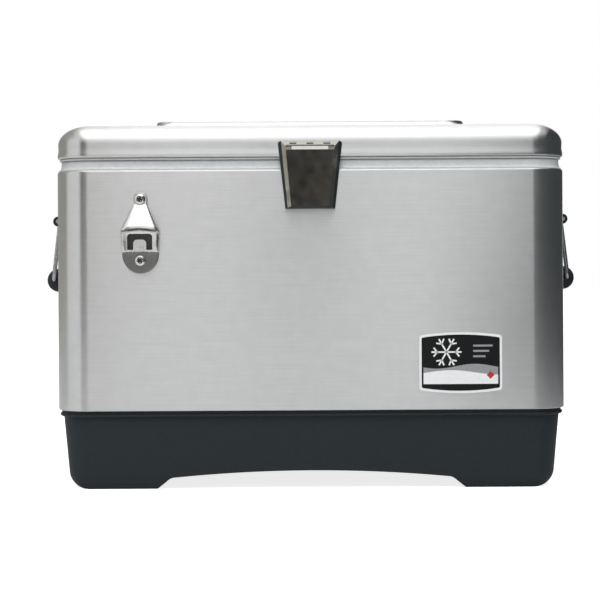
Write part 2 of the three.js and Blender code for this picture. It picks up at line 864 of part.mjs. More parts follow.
// Latch: a hollow faceted lever that swings on a pin in the lid's bracket and hooks under the keeper
const latchAxis = { y: frontFace - latchPinProud, z: latchPinHeight };
const latchBack = frontFace - latchGap;
const latchFace = frontFace - latchProud;
const latchPinReach = latchTopWidth / 2 - latchBevelReach + latchPinHold;

// A trapezoid ring at one depth, as corners from the lower left round to the upper left
function trapezoid(depth, bottomHalf, bottomHeight, topHalf, topHeight) {
  return [
    new THREE.Vector3(-bottomHalf, depth, bottomHeight),
    new THREE.Vector3(bottomHalf, depth, bottomHeight),
    new THREE.Vector3(topHalf, depth, topHeight),
    new THREE.Vector3(-topHalf, depth, topHeight),
  ];
}

function latchRing(depth, bevelShare, topDrop, grow) {
  const bottomHalf = latchBottomWidth / 2 - latchFootBevelReach * bevelShare + grow;
  const topHalf = latchTopWidth / 2 - latchBevelReach * bevelShare + grow;
  const foot = latchBottom + latchFaceRise * bevelShare - grow;
  return trapezoid(depth, bottomHalf, foot, topHalf, latchTop - topDrop + grow);
}

function latchForm(grow, back, face) {
  const edge = latchBack - latchEdgeDepth;
  const crest = latchBack - latchCrestDepth;
  const crestShare = (edge - crest) / (edge - latchFace);
  return solid(loft([
    latchRing(back, 0, 0, grow),
    latchRing(edge, 0, 0, grow),
    latchRing(crest, crestShare, 0, grow),
    latchRing(face, 1, latchFaceDrop, grow),
  ]));
}

function makeLatchLever() {
  const outer = latchForm(0, latchBack, latchFace);
  const hollow = latchForm(-latchWall, latchBack + overrun, latchFace + latchWall);
  const barrelRoom = barAlongX(
    bracketKnuckleRadius + clearance,
    -latchTopWidth / 2 + latchBevelReach,
    latchTopWidth / 2 - latchBevelReach,
    latchAxis.y,
    latchAxis.z,
    barrelSides,
  );
  // The rear of the top is rounded about the pin, so that it clears the lid as the lever swings
  const rounding = new THREE.Shape();
  rounding.moveTo(latchAxis.y, latchTop + overrun);
  rounding.lineTo(latchAxis.y, latchTop);
  rounding.absarc(latchAxis.y, latchAxis.z, latchBarrelRadius, quarterTurn, 0, true);
  rounding.lineTo(latchBack + overrun, latchAxis.z);
  rounding.lineTo(latchBack + overrun, latchTop + overrun);
  const shell = cut(outer, [hollow, barrelRoom, alongX(rounding, -latchTopWidth, latchTopWidth)]);
  const hook = block(
    [-latchBottomWidth / 2 + latchFootBevelReach, latchBottomWidth / 2 - latchFootBevelReach],
    [latchFace + latchWall / 2, frontFace - clearance - keeperPlate - hookGap],
    [hookTop - hookThickness, hookTop],
  );
  const slots = [-1, 0, 1].map((position) => {
    const middle = position * bracketKnuckleSpacing;
    const half = bracketKnuckleWidth / 2 + clearance;
    return block(
      [middle - half, middle + half],
      [latchBack - latchCrestDepth - clearance, latchBack + overrun],
      [latchAxis.z, latchTop + overrun],
    );
  });
  const pinHoles = barAlongX(
    latchPinRadius + clearance,
    -latchPinReach - clearance,
    latchPinReach + clearance,
    latchAxis.y,
    latchAxis.z,
    barrelSides,
  );
  return cut(shell.add(hook), [...slots, pinHoles]);
}

piece("latch_lever", bodies.latch, makeLatchLever(), finishes.blackNickel);

function makeLatchBracket() {
  const back = lidFront - clearance;
  const plate = block(
    [-bracketWidth / 2, bracketWidth / 2],
    [back - bracketPlate, back],
    [latchAxis.z - bracketDrop, latchAxis.z + bracketRise],
  );
  const knuckles = [-1, 0, 1].map((position) => {
    const left = position * bracketKnuckleSpacing - bracketKnuckleWidth / 2;
    const right = left + bracketKnuckleWidth;
    const eye = barAlongX(bracketKnuckleRadius, left, right, latchAxis.y, latchAxis.z, barrelSides);
    return eye.add(block([left, right], [latchAxis.y, back], [latchAxis.z - bracketDrop, latchAxis.z]));
  });
  const bore = barAlongX(
    latchPinRadius + clearance,
    -bracketWidth,
    bracketWidth,
    latchAxis.y,
    latchAxis.z,
    barrelSides,
  );
  return drilled(cut(union([plate, ...knuckles]), [bore]));
}

piece("latch_bracket", bodies.lid, makeLatchBracket(), finishes.blackPlastic);
piece(
  "latch_pin",
  bodies.lid,
  barAlongX(latchPinRadius, -latchPinReach, latchPinReach, latchAxis.y, latchAxis.z, barrelSides),
  finishes.zincSteel,
);

// Keeper: a small plate on the wrap with a nose that the hook snaps under
function makeKeeper() {
  const back = frontFace - clearance;
  const face = back - keeperPlate;
  const tip = face - keeperNoseReach;
  const profile = outlineOf([
    [back, keeperBottom],
    [back, keeperTop],
    [face, keeperTop],
    [face, keeperBottom + keeperNoseHeight + keeperNoseSlope],
    [tip, keeperBottom + keeperNoseHeight],
    [tip, keeperBottom],
  ]);
  return drilled(alongX(profile, -keeperWidth / 2, keeperWidth / 2));
}

piece("latch_keeper", bodies.cooler_body, makeKeeper(), finishes.blackPlastic);

// Bottle opener: a cast plate with a hood, a mouth below it and a tongue in the mouth
function makeOpener() {
  const back = frontFace - clearance;
  const hoodTop = openerUpperScrewHeight - openerHoodTopDrop;
  const hoodFoot = hoodTop - openerHoodLength;
  const cheekFoot = hoodFoot - openerCheekLength;
  const plateOutline = new THREE.Shape();
  plateOutline.moveTo(-openerTabRadius, openerUpperScrewHeight);
  plateOutline.lineTo(-openerTabRadius, hoodTop);
  plateOutline.lineTo(-openerHoodHalf, hoodFoot);
  plateOutline.lineTo(-openerCheekHalf, cheekFoot);
  plateOutline.absellipse(0, cheekFoot, openerCheekHalf, openerFootDrop, Math.PI, 2 * Math.PI, false, 0);
  plateOutline.lineTo(openerHoodHalf, hoodFoot);
  plateOutline.lineTo(openerTabRadius, hoodTop);
  plateOutline.lineTo(openerTabRadius, openerUpperScrewHeight);
  plateOutline.absarc(0, openerUpperScrewHeight, openerTabRadius, 0, Math.PI, false);
  const plate = alongY(plateOutline, back - openerPlate, back);

  // A section with a flat back and cornered face, at one height
  const section = (half, proud, height) => [
    [-half, 0],
    [-half, -proud + openerFaceCorner],
    [-half + openerFaceCorner, -proud],
    [half - openerFaceCorner, -proud],
    [half, -proud + openerFaceCorner],
    [half, 0],
  ].map(([across, out]) => new THREE.Vector3(across, back + out, height));
  const hood = solid(loft([
    section(openerCheekHalf, openerCheekProud, cheekFoot),
    section(openerHoodHalf - openerLipDrop / 2, openerHoodProud - openerLipDrop, hoodFoot - openerLipDrop),
    section(openerHoodHalf, openerHoodProud, hoodFoot),
    section(openerHoodTopHalf, openerHoodTopProud, hoodTop),
  ]));
  const mouthFoot = cheekFoot + openerMouthWall;
  const mouthTop = mouthFoot + openerMouthHeight;
  const mouth = new THREE.Shape();
  mouth.moveTo(-openerMouthHalf, mouthFoot);
  mouth.lineTo(-openerMouthHalf, mouthTop - openerMouthWall);
  mouth.quadraticCurveTo(-openerMouthHalf, mouthTop, -openerMouthHalf + openerMouthWall, mouthTop);
  mouth.lineTo(openerMouthHalf - openerMouthWall, mouthTop);
  mouth.quadraticCurveTo(openerMouthHalf, mouthTop, openerMouthHalf, mouthTop - openerMouthWall);
  mouth.lineTo(openerMouthHalf, mouthFoot);
  mouth.lineTo(openerTongueHalf, mouthFoot);
  mouth.lineTo(openerTongueHalf, mouthFoot + openerTongueHeight - openerTongueCorner);
  mouth.lineTo(openerTongueHalf - openerTongueCorner, mouthFoot + openerTongueHeight);
  mouth.lineTo(-openerTongueHalf + openerTongueCorner, mouthFoot + openerTongueHeight);
  mouth.lineTo(-openerTongueHalf, mouthFoot + openerTongueHeight - openerTongueCorner);
  mouth.lineTo(-openerTongueHalf, mouthFoot);
  const opening = alongY(mouth, back - openerHoodProud - overrun, back - openerPlate);
  // The tongue is a thin web at the front of the mouth, so the pocket is cleared behind it
  const behindTongue = block(
    [-openerMouthHalf, openerMouthHalf],
    [back - openerCheekProud + openerMouthWall, back - openerPlate],
    [mouthFoot, mouthTop],
  );
  return cut(plate.add(hood), [opening, behindTongue]);
}

const openerAtSide = new THREE.Matrix4().makeTranslation(-openerSide, 0, 0);
const opener = solid(geometryOf(makeOpener()).applyMatrix4(openerAtSide));
piece("bottle_opener", bodies.cooler_body, drilled(opener), finishes.castSteel);

// Badge: a thin plate, bowed along its top and bottom
function makeBadge() {
  const half = badgeWidth / 2;
  const edge = badgeEdgeHeight / 2;
  const bow = badgeMiddleHeight - edge;
  const round = badgeCornerRadius;
  const outline = new THREE.Shape();
  outline.moveTo(-half, -edge + round);
  outline.quadraticCurveTo(-half, -edge, -half + round, -edge);
  outline.quadraticCurveTo(0, -bow, half - round, -edge);
  outline.quadraticCurveTo(half, -edge, half, -edge + round);
  outline.lineTo(half, edge - round);
  outline.quadraticCurveTo(half, edge, half - round, edge);
  outline.quadraticCurveTo(0, bow, -half + round, edge);
  outline.quadraticCurveTo(-half, edge, -half, edge - round);
  return alongY(outline, -badgeThickness, 0);
}

const badge = piece("badge_plate", bodies.cooler_body, makeBadge(), finishes.badgePrint);
badge.position.set(badgeSide, frontFace - clearance, badgeHeight);

// Handles: a bent rod that hangs from two ears, with a grip on its lower run
function bailPath() {
  const reach = bailHalfSpan - bailBendRadius;
  const outside = bailHalfSpan + bailBendRadius;
  const low = -bailDrop;
  const bends = { top: -bailBendRadius, bottom: low + bailBendRadius };
  const end = earFar + bailEndProud;
  const half = [
    [end, 0],
    ...quarter(roundSteps, (side, up) => [outside - bailBendRadius * side, bends.top + bailBendRadius * up]),
    ...quarter(roundSteps, (side, up) => [reach + bailBendRadius * up, bends.bottom - bailBendRadius * side]),
  ];
  return [...half.map(([along, height]) => [-along, height]), ...half.slice().reverse()];
}

// A round rod through points that lie in the YZ plane, with its sections square to the path
function bentRod(points, radius) {
  const path = points.map(([along, height]) => new THREE.Vector3(0, along, height));
  const outOfPlane = new THREE.Vector3(1, 0, 0);
  const rings = path.map((point, index) => {
    const before = path[Math.max(index - 1, 0)];
    const after = path[Math.min(index + 1, path.length - 1)];
    const arriving = point.clone().sub(before).normalize();
    const leaving = after.clone().sub(point).normalize();
    const direction = arriving.add(leaving).normalize();
    const across = new THREE.Vector3().crossVectors(direction, outOfPlane);
    return Array.from({ length: rodSides }, (_, side) => {
      const angle = (side / rodSides) * 4 * quarterTurn;
      return point.clone()
        .addScaledVector(outOfPlane, radius * Math.cos(angle))
        .addScaledVector(across, radius * Math.sin(angle));
    });
  });
  return solid(loft(rings));
}

function makeGrip() {
  const outline = new THREE.Shape();
  const inner = -gripInnerReach;
  const corner = gripRadius - gripInnerCorner;
  outline.moveTo(0, -gripRadius);
  outline.absarc(0, 0, gripRadius, -quarterTurn, quarterTurn, false);
  outline.lineTo(inner + gripInnerCorner, gripRadius);
  outline.absarc(inner + gripInnerCorner, corner, gripInnerCorner, quarterTurn, Math.PI, false);
  outline.lineTo(inner, -corner);
  outline.absarc(inner + gripInnerCorner, -corner, gripInnerCorner, Math.PI, Math.PI + quarterTurn, false);
  const bore = new THREE.Path();
  bore.absarc(gripOffset, 0, bailRadius + clearance, 0, 4 * quarterTurn, true);
  outline.holes.push(bore);
  return alongY(outline, -gripLength / 2, gripLength / 2);
}

// The ear and plate of one mount, on the right side and at the front end of the handle
function makeMount() {
  const plateFrom = sideFace + clearance;
  const plateTo = plateFrom + mountPlate;
  const pivotSide = sideFace + pivotProud;
  const plateNear = -mountNear;
  const plateFar = -mountFar;
  const outline = new THREE.Shape();
  const half = mountHeight / 2;
  const round = mountCornerRadius;
  outline.moveTo(plateFar + round, pivotHeight - half);
  outline.lineTo(plateNear - round, pivotHeight - half);
  outline.quadraticCurveTo(plateNear, pivotHeight - half, plateNear, pivotHeight - half + round);
  outline.lineTo(plateNear, pivotHeight + half - round);
  outline.quadraticCurveTo(plateNear, pivotHeight + half, plateNear - round, pivotHeight + half);
  outline.lineTo(plateFar + round, pivotHeight + half);
  outline.quadraticCurveTo(plateFar, pivotHeight + half, plateFar, pivotHeight + half - round);
  outline.lineTo(plateFar, pivotHeight - half + round);
  outline.quadraticCurveTo(plateFar, pivotHeight - half, plateFar + round, pivotHeight - half);
  const plate = alongX(outline, plateFrom, plateTo);
  const ear = new THREE.Shape();
  const earHalfFoot = earRadius + mountPlate;
  ear.moveTo(plateTo - mountPlate / 2, pivotHeight - earHalfFoot);
  ear.lineTo(pivotSide, pivotHeight - earRadius);
  ear.absarc(pivotSide, pivotHeight, earRadius, -quarterTurn, quarterTurn, false);
  ear.lineTo(plateTo - mountPlate / 2, pivotHeight + earHalfFoot);
  const eye = barAlongY(
    bailRadius + clearance,
    -earFar - overrun,
    -earNear + overrun,
    pivotSide,
    pivotHeight,
    barrelSides,
  );
  return plate.add(cut(alongY(ear, -earFar, -earNear), [eye]));
}

for (const [side, sign] of [["left", -1], ["right", 1]]) {
  const turn = sign > 0 ? 0 : Math.PI;
  const hanging = new THREE.Group();
  hanging.position.set(sideFace + pivotProud, 0, pivotHeight);
  hanging.rotation.y = -THREE.MathUtils.degToRad(bailLeanDegrees);
  const handle = bodies[`handle_${side}`];
  handle.rotation.z = turn;
  handle.add(hanging);
  piece(`handle_${side}_bail`, hanging, bentRod(bailPath(), bailRadius), finishes.zincSteel);
  const grip = piece(`handle_${side}_grip`, hanging, makeGrip(), finishes.blackRubber);
  grip.position.set(-gripOffset, 0, -bailDrop);

  for (const [end, endSign] of [["front", -1], ["rear", 1]]) {
    const mount = geometryOf(makeMount());
    // The mount for the rear end of the right side is the front one mirrored, and the left side mirrors both
    mount.applyMatrix4(new THREE.Matrix4().makeScale(sign, -endSign, 1));
    piece(`handle_${side}_mount_${end}`, bodies.cooler_body, drilled(solid(mount)), finishes.blackPlastic);
  }
}

// Drain: a flanged spout through the wall, its gasket, the nut inside the liner, and a pull plug
const gasketFrom = drainBossFace + clearance;
const gasketTo = gasketFrom + drainGasketThickness;
const flangeFrom = gasketTo + clearance;
const flangeTo = flangeFrom + drainFlangeThickness;
const collarEnd = flangeTo + drainCollarLength;
const nutTo = sumpWall - clearance;
const nutFrom = nutTo - drainNutThickness;
const boreHole = tubeBar(drainBoreRadius, nutFrom - 2 * overrun, collarEnd + overrun);

piece("drain_gasket", bodies.cooler_body,
  cut(tubeBar(drainGasketRadius, gasketFrom, gasketTo), [tubeHole]), finishes.blackRubber);
piece("drain_spout", bodies.cooler_body, cut(union([
  tubeBar(drainFlangeRadius, flangeFrom, flangeTo),
  tubeBar(drainCollarRadius, flangeFrom, collarEnd),
  tubeBar(drainTubeRadius, nutFrom - drainTubeEnd, flangeTo),
]), [boreHole]), finishes.whitePlastic);
piece("drain_nut", bodies.cooler_body, cut(
  barAlongX(drainNutRadius, nutFrom, nutTo, drainAxis.y, drainAxis.z, boltSides),
  [tubeHole],
), finishes.whitePlastic);

const plugSeat = collarEnd + clearance;
const plugHeadTo = plugSeat + drainPlugHeadThickness;
piece("drain_plug_cap", bodies.drain_plug, union([
  tubeBar(drainPlugHeadRadius, plugSeat, plugHeadTo),
  tubeBar(drainBoreRadius - clearance, plugSeat - drainPlugShankLength, plugHeadTo),
  tubeBar(drainPlugKnobRadius, plugSeat, plugHeadTo + drainPlugKnobLength),
]), finishes.whitePlastic);

// The screws themselves
for (const screw of screws) {
  const mesh = piece(screw.name, screw.group, screwSolid(screw.type), finishes.zincSteel);
  mesh.position.copy(screw.place);
  mesh.quaternion.copy(screwTurn(screw.outward));
}

// The origin is on the ground, in the middle of the whole reach from latch to hinges
cooler.position.y = (frontReach - rearReach) / 2;

export default cooler;
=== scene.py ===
"""Looks of the stainless steel cooler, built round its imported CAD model."""
import json
import math

import bmesh
import bpy
from mathutils import Matrix, Vector


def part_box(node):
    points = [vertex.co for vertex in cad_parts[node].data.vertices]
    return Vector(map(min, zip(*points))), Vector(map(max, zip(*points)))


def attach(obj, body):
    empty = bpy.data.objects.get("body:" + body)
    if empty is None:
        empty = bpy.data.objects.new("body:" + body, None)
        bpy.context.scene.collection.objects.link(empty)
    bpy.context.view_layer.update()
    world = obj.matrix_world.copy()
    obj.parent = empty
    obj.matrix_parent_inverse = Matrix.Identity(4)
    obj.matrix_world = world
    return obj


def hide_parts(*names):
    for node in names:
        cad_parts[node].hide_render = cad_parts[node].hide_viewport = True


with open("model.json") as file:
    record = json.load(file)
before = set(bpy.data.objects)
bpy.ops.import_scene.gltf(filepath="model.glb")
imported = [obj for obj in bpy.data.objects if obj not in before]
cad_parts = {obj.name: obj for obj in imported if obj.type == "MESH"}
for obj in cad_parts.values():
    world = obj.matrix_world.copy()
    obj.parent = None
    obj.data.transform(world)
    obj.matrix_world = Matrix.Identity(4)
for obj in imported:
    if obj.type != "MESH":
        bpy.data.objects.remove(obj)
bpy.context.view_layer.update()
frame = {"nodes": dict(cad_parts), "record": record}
scene = bpy.context.scene
behaviour = frame["record"]["behaviour"]
# Edges that turn by more degrees than this stay hard
crease = 35


# Shapes. Lengths are in millimetres up to where Blender takes them, which is in metres.

def span(node):
    """Lowest and highest corner of a CAD node in millimetres."""
    low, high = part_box(node)
    return low * 1000, high * 1000


def middle_of(node):
    """The middle of a CAD node's box in millimetres."""
    low, high = span(node)
    return (low + high) / 2


def new_object(name, data):
    """An object in the scene, from a mesh, a lamp or a camera."""
    made = bpy.data.objects.new(name, data)
    scene.collection.objects.link(made)
    return made


def dress(piece, sharp):
    """Turns a piece's faces outwards and smooths them up to the angle."""
    work = bmesh.new()
    work.from_mesh(piece.data)
    bmesh.ops.remove_doubles(work, verts=work.verts, dist=1e-6)
    bmesh.ops.recalc_face_normals(work, faces=work.faces)
    work.to_mesh(piece.data)
    work.free()
    piece.data.shade_smooth()
    piece.data.set_sharp_from_angle(angle=math.radians(sharp))


def lofted(name, rings, endless=False, sharp=crease):
    """A skin over rings of equal count, with flat ends, or running round into its first ring."""
    count = len(rings[0])
    points = [Vector(point) / 1000 for ring in rings for point in ring]
    faces = []
    for band in range(len(rings) if endless else len(rings) - 1):
        lower = band * count
        upper = (band + 1) % len(rings) * count
        for i in range(count):
            j = (i + 1) % count
            faces.append((lower + i, lower + j, upper + j, upper + i))
    if not endless:
        faces.append(tuple(reversed(range(count))))
        faces.append(tuple(range(len(points) - count, len(points))))
    mesh = bpy.data.meshes.new(name)
    mesh.from_pydata(points, [], faces)
    piece = new_object(name, mesh)
    dress(piece, sharp)
    return piece


def extruded(name, outline, start, end, axis):
    """A prism from start to end on an axis. Its outline holds the other two axes in x, y, z order."""
    slot = "xyz".index(axis)
    return lofted(name, [
        [(*point[:slot], place, *point[slot:]) for point in outline] for place in (start, end)
    ])


def turned(name, profile, centre, outward, sides=40):
    """A turned piece: its profile holds radius and distance along the outward axis from the centre."""
    turn = Vector((0, 0, 1)).rotation_difference(Vector(outward)).to_matrix()
    rings = []
    for radius, along in profile:
        ring = []
        for step in range(sides):
            angle = 2 * math.pi * step / sides
            rim = Vector((radius * math.cos(angle), radius * math.sin(angle), along))
            ring.append(Vector(centre) + turn @ rim)
        rings.append(ring)
    return lofted(name, rings)


def turned_on_x(name, profile, axis, sides=40):
    """A turned piece round a line along X, with its profile in radius and x."""
    return turned(name, profile, (0, axis.y, axis.z), (1, 0, 0), sides)


def bar(name, radius, start, end, axis):
    """A round bar along X."""
    return turned_on_x(name, [(radius, start), (radius, end)], axis, 32)


def oblong(left, foot, right, top):
    """The corners of an upright rectangle."""
    return [(left, foot), (right, foot), (right, top), (left, top)]


def rounded(corners, radius, steps=6):
    """An outline through corners with each one rounded, as 2-D points."""
    outline = []
    count = len(corners)
    radii = radius if isinstance(radius, (list, tuple)) else [radius] * count
    for i, corner in enumerate(corners):
        here = Vector(corner)
        before = (Vector(corners[i - 1]) - here).normalized()
        after = (Vector(corners[(i + 1) % count]) - here).normalized()
        if radii[i] <= 0:
            outline.append(tuple(here))
            continue
        half = before.angle(after) / 2
        reach = radii[i] / math.tan(half)
        middle = here + (before + after).normalized() * radii[i] / math.sin(half)
        first = here + before * reach - middle
        last = here + after * reach - middle
        sweep = first.angle_signed(last)
        for step in range(steps + 1):
            angle = -sweep * step / steps
            outline.append(tuple(middle + Matrix.Rotation(angle, 2) @ first))
    return outline


def arc(steps, place):
    """Points of a quarter turn: place takes its sine and its cosine."""
    angles = [math.pi / 2 * step / steps for step in range(steps + 1)]
    return [place(math.sin(angle), math.cos(angle)) for angle in angles]


def combined(piece, others, operation="DIFFERENCE", sharp=crease):
    """Cuts other pieces out of a piece, or joins them to it, and uses them up."""
    for other in others:
        modifier = piece.modifiers.new("combine", "BOOLEAN")
        modifier.operation = operation
        modifier.solver = "EXACT"
        modifier.object = other
    shown = piece.evaluated_get(bpy.context.evaluated_depsgraph_get())
    mesh = bpy.data.meshes.new_from_object(shown)
    piece.modifiers.clear()
    piece.data = mesh
    for other in others:
        bpy.data.objects.remove(other)
    dress(piece, sharp)
    return piece


def merged(name, pieces):
    """One object from several, which keep their own surfaces and finishes."""
    work = bmesh.new()
    finishes = []
    for piece in pieces:
        first = len(work.faces)
        work.from_mesh(piece.data)
        work.faces.ensure_lookup_table()
        slots = [slot.material for slot in piece.material_slots]
        for face in work.faces[first:]:
            if slots:
                own = slots[face.material_index]
                if own not in finishes:
                    finishes.append(own)
                face.material_index = finishes.index(own)
    mesh = bpy.data.meshes.new(name)
    work.to_mesh(mesh)
    work.free()
    # Appended, because paint would give every face the first finish
    for own in finishes:
        mesh.materials.append(own)
    for piece in pieces:
        bpy.data.objects.remove(piece)
    mesh.shade_smooth()
    mesh.set_sharp_from_angle(angle=math.radians(crease))
    return new_object(name, mesh)


def eased(piece, width, segments=3):
    """Rounds the hard edges of a piece as moulding, casting or tumbling leaves them."""
    bevel = piece.modifiers.new("eased edges", "BEVEL")
    bevel.width = width / 1000
    bevel.segments = segments
    bevel.limit_method = "ANGLE"
    bevel.angle_limit = math.radians(32)
    bevel.harden_normals = True
    return piece


def paint(mesh, *finishes):
    """Gives a mesh these finishes in place of any others, and all its faces the first one."""
    mesh.materials.clear()
    for finish in finishes:
        mesh.materials.append(finish)


def paint_faces(mesh, finishes, pick):
    """Paints each face with the finish that pick takes for its normal and its middle in mm."""
    paint(mesh, *finishes)
    for face in mesh.polygons:
        face.material_index = finishes.index(pick(face.normal, Vector(face.center) * 1000))


def fit(piece, body, finish=None, nodes=()):
    """Gives a piece its finish, its body and the CAD nodes that it stands for."""
    if finish:
        paint(piece.data, finish)
    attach(piece, body)
    if nodes:
        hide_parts(*nodes)


# Finishes

def rgb(code):
    """Linear colour from an sRGB hex code."""
    levels = [int(code[i:i + 2], 16) / 255 for i in (1, 3, 5)]
    linear = [level / 12.92 if level <= 0.04045 else ((level + 0.055) / 1.055) ** 2.4 for level in levels]
    return (*linear, 1.0)


def add_node(tree, kind, inputs=None, stops=None, **settings):
    """Adds a node with its settings, its inputs as values or links, and a ramp's stops."""
    node = tree.nodes.new(f"ShaderNode{kind}")
    for name, value in settings.items():
        setattr(node, name, value)
    for key, value in (inputs or {}).items():
        if isinstance(value, bpy.types.NodeSocket):
            tree.links.new(value, node.inputs[key])
        else:
            node.inputs[key].default_value = value
    if stops:
        ramp = node.color_ramp
        while len(ramp.elements) < len(stops):
            ramp.elements.new(0.5)
        for element, (position, code) in zip(ramp.elements, stops):
            element.position = position
            element.color = rgb(code)
    return node


def new_finish(name, **values):
    """A material whose shader has the values, with the place on the object as coordinates."""
    finish = bpy.data.materials.new(name)
    finish.use_nodes = True
    tree = finish.node_tree
    shader = tree.nodes["Principled BSDF"]
    for key, value in values.items():
        shader.inputs[key.replace("_", " ").title().replace("Ior", "IOR")].default_value = value
    place = add_node(tree, "TexCoord")
    return finish, tree, shader, place


def texture(tree, shader, grain, colours, roughness, relief, strength, depth):
    """Lets a grain vary colour and gloss, and a relief raise the surface by depth in mm."""
    # Most of a noise lies between these
    faint, full = 0.3, 0.7
    colour = add_node(
        tree, "ValToRGB", {"Fac": grain}, stops=[(faint, colours[0]), (full, colours[1])])
    gloss = add_node(
        tree, "MapRange",
        {"Value": grain, "From Min": faint, "From Max": full, "To Min": roughness[0], "To Max": roughness[1]})
    bump = add_node(
        tree, "Bump", {"Height": relief, "Strength": strength, "Distance": depth / 1000})
    tree.links.new(colour.outputs["Color"], shader.inputs["Base Color"])
    tree.links.new(gloss.outputs["Result"], shader.inputs["Roughness"])
    tree.links.new(bump.outputs["Normal"], shader.inputs["Normal"])


def brushed_stainless():
    """Stainless sheet, brushed round the body: soft streaks, and reflections that smear up and down."""
    finish, tree, shader, place = new_finish("brushed stainless sheet", metallic=1.0, anisotropic=0.93)
    # Real scratches are under 0.1 mm wide. They are drawn 0.9 mm wide and 70 mm long, so that they show.
    width, length = 1000 / 0.9, 1000 / 70
    streaks = []
    for scale in ((length, width, width), (width, length, width)):
        grid = add_node(tree, "Mapping", {"Vector": place.outputs["Object"], "Scale": scale})
        noise = add_node(
            tree, "TexNoise", {"Vector": grid.outputs[0], "Scale": 1.0, "Detail": 3.0})
        streaks.append(noise.outputs["Fac"])
    facing = add_node(tree, "SeparateXYZ", {0: place.outputs["Normal"]})
    sideways = add_node(tree, "Math", {0: facing.outputs["X"]}, operation="ABSOLUTE")
    on_side = add_node(
        tree, "MapRange", {"Value": sideways.outputs[0], "From Min": 0.6, "From Max": 0.8})
    streak = add_node(tree, "Mix", {0: on_side.outputs["Result"], 2: streaks[0], 3: streaks[1]})
    # Handling leaves faint clouds about 14 mm across
    cloud = add_node(
        tree, "TexNoise", {"Vector": place.outputs["Object"], "Scale": 1000 / 14, "Detail": 4.0})
    blend = add_node(tree, "Mix", {0: 0.35, 2: streak.outputs[0], 3: cloud.outputs["Fac"]})
    texture(
        tree, shader, blend.outputs[0], ("#c9cac9", "#d5d6d5"), (0.3, 0.34), streak.outputs[0], 0.15, 0.02)
    # Up the wall, and on towards the middle where the sheet lies flat
    flat = add_node(tree, "Math", {0: facing.outputs["Z"]}, operation="ABSOLUTE")
    behind = add_node(tree, "Math", {0: facing.outputs["Y"], 1: 0.0}, operation="GREATER_THAN")
    inwards = add_node(
        tree, "MapRange", {"Value": behind.outputs[0], "To Min": 1.0, "To Max": -1.0})
    across = add_node(
        tree, "Math", {0: flat.outputs[0], 1: inwards.outputs["Result"]}, operation="MULTIPLY")
    upright = add_node(tree, "CombineXYZ", {"Y": across.outputs[0], "Z": 0.6})
    tangent = add_node(
        tree, "VectorTransform", {0: upright.outputs[0]},
        vector_type="VECTOR", convert_from="OBJECT", convert_to="WORLD")
    tree.links.new(tangent.outputs[0], shader.inputs["Tangent"])
    return finish


def speckled_finish(name, size, colours, roughness, depth, stretch=(1, 1, 1), **values):
    """A material with one grain over all of it, of a size in mm, raised by depth in mm."""
    finish, tree, shader, place = new_finish(name, **values)
    scale = [1000 / (size * amount) for amount in stretch]
    grid = add_node(tree, "Mapping", {"Vector": place.outputs["Object"], "Scale": scale})
    noise = add_node(tree, "TexNoise", {"Vector": grid.outputs[0], "Scale": 1.0, "Detail": 4.0})
    grain = noise.outputs["Fac"]
    texture(tree, shader, grain, colours, roughness, grain, 0.6, depth)
    return finish


steel = brushed_stainless()
# Hinge strip: rolled stainless, satin, with short scratches from handling
hinge_steel = speckled_finish(
    "satin stainless strip", 1.2, ("#b0b2b2", "#bcbebe"), (0.28, 0.36), 0.004, (12, 12, 1), metallic=1.0)
# Cast and barrel-polished: bright but satin, with faint ripples left by the mould
cast_steel = speckled_finish(
    "polished cast steel", 4, ("#dadad8", "#e4e4e2"), (0.24, 0.32), 0.03, metallic=1.0)
# Cast steel made grey as painted shade, under the hood and on the recessed foot of the opener: duller and
# finely pitted
shaded_cast_steel = speckled_finish(
    "cast steel darkened as painted shade", 1, ("#747472", "#8b8b89"), (0.36, 0.46), 0.02, metallic=1.0)
# The same steel, darker still, inside the mouth and in screw recesses: painted shade
deep_shade_cast_steel = speckled_finish(
    "cast steel darkened as deep painted shade", 1, ("#4a4945", "#605f5a"), (0.42, 0.52), 0.02, metallic=1.0)
# Zinc on steel: pale and slightly cloudy
zinc_steel = speckled_finish(
    "zinc plated steel", 2, ("#a9adae", "#bbbfc0"), (0.24, 0.34), 0.006, metallic=1.0)
# Black nickel over moulded ABS: a smoky mirror, faintly rippled by the plastic under it
black_nickel = speckled_finish(
    "black nickel plating", 9, ("#87837a", "#8b877e"), (0.12, 0.15), 0.0003, metallic=1.0)
# The same plating made lighter on the front of the latch's side bevels: a painted highlight
highlight_nickel = speckled_finish(
    "black nickel lightened as painted highlight", 9, ("#c6c3ba", "#cac7be"), (0.12, 0.15), 0.001, metallic=1.0)
# Moulded HDPE with a spark-eroded grain of about 0.8 mm
black_plastic = speckled_finish(
    "grained black polyethylene", 0.8, ("#212729", "#2c3336"), (0.46, 0.6), 0.05,
    ior=1.5, specular_ior_level=0.2)
# Smooth moulded HDPE with a faint orange peel
white_plastic = speckled_finish(
    "smooth white polyethylene", 6, ("#c3c6c6", "#cdd0d0"), (0.34, 0.44), 0.02, ior=1.5)
# Soft thermoplastic rubber, dull, with a fine matt grain
grip_rubber = speckled_finish(
    "soft black grip rubber", 0.7, ("#17191a", "#232627"), (0.6, 0.75), 0.06, ior=1.5)
# Poured polyurethane foam: closed cells up to about 1.5 mm
foam = speckled_finish(
    "poured polyurethane foam", 1.5, ("#cfc294", "#e2d8b2"), (0.9, 1.0), 0.5)
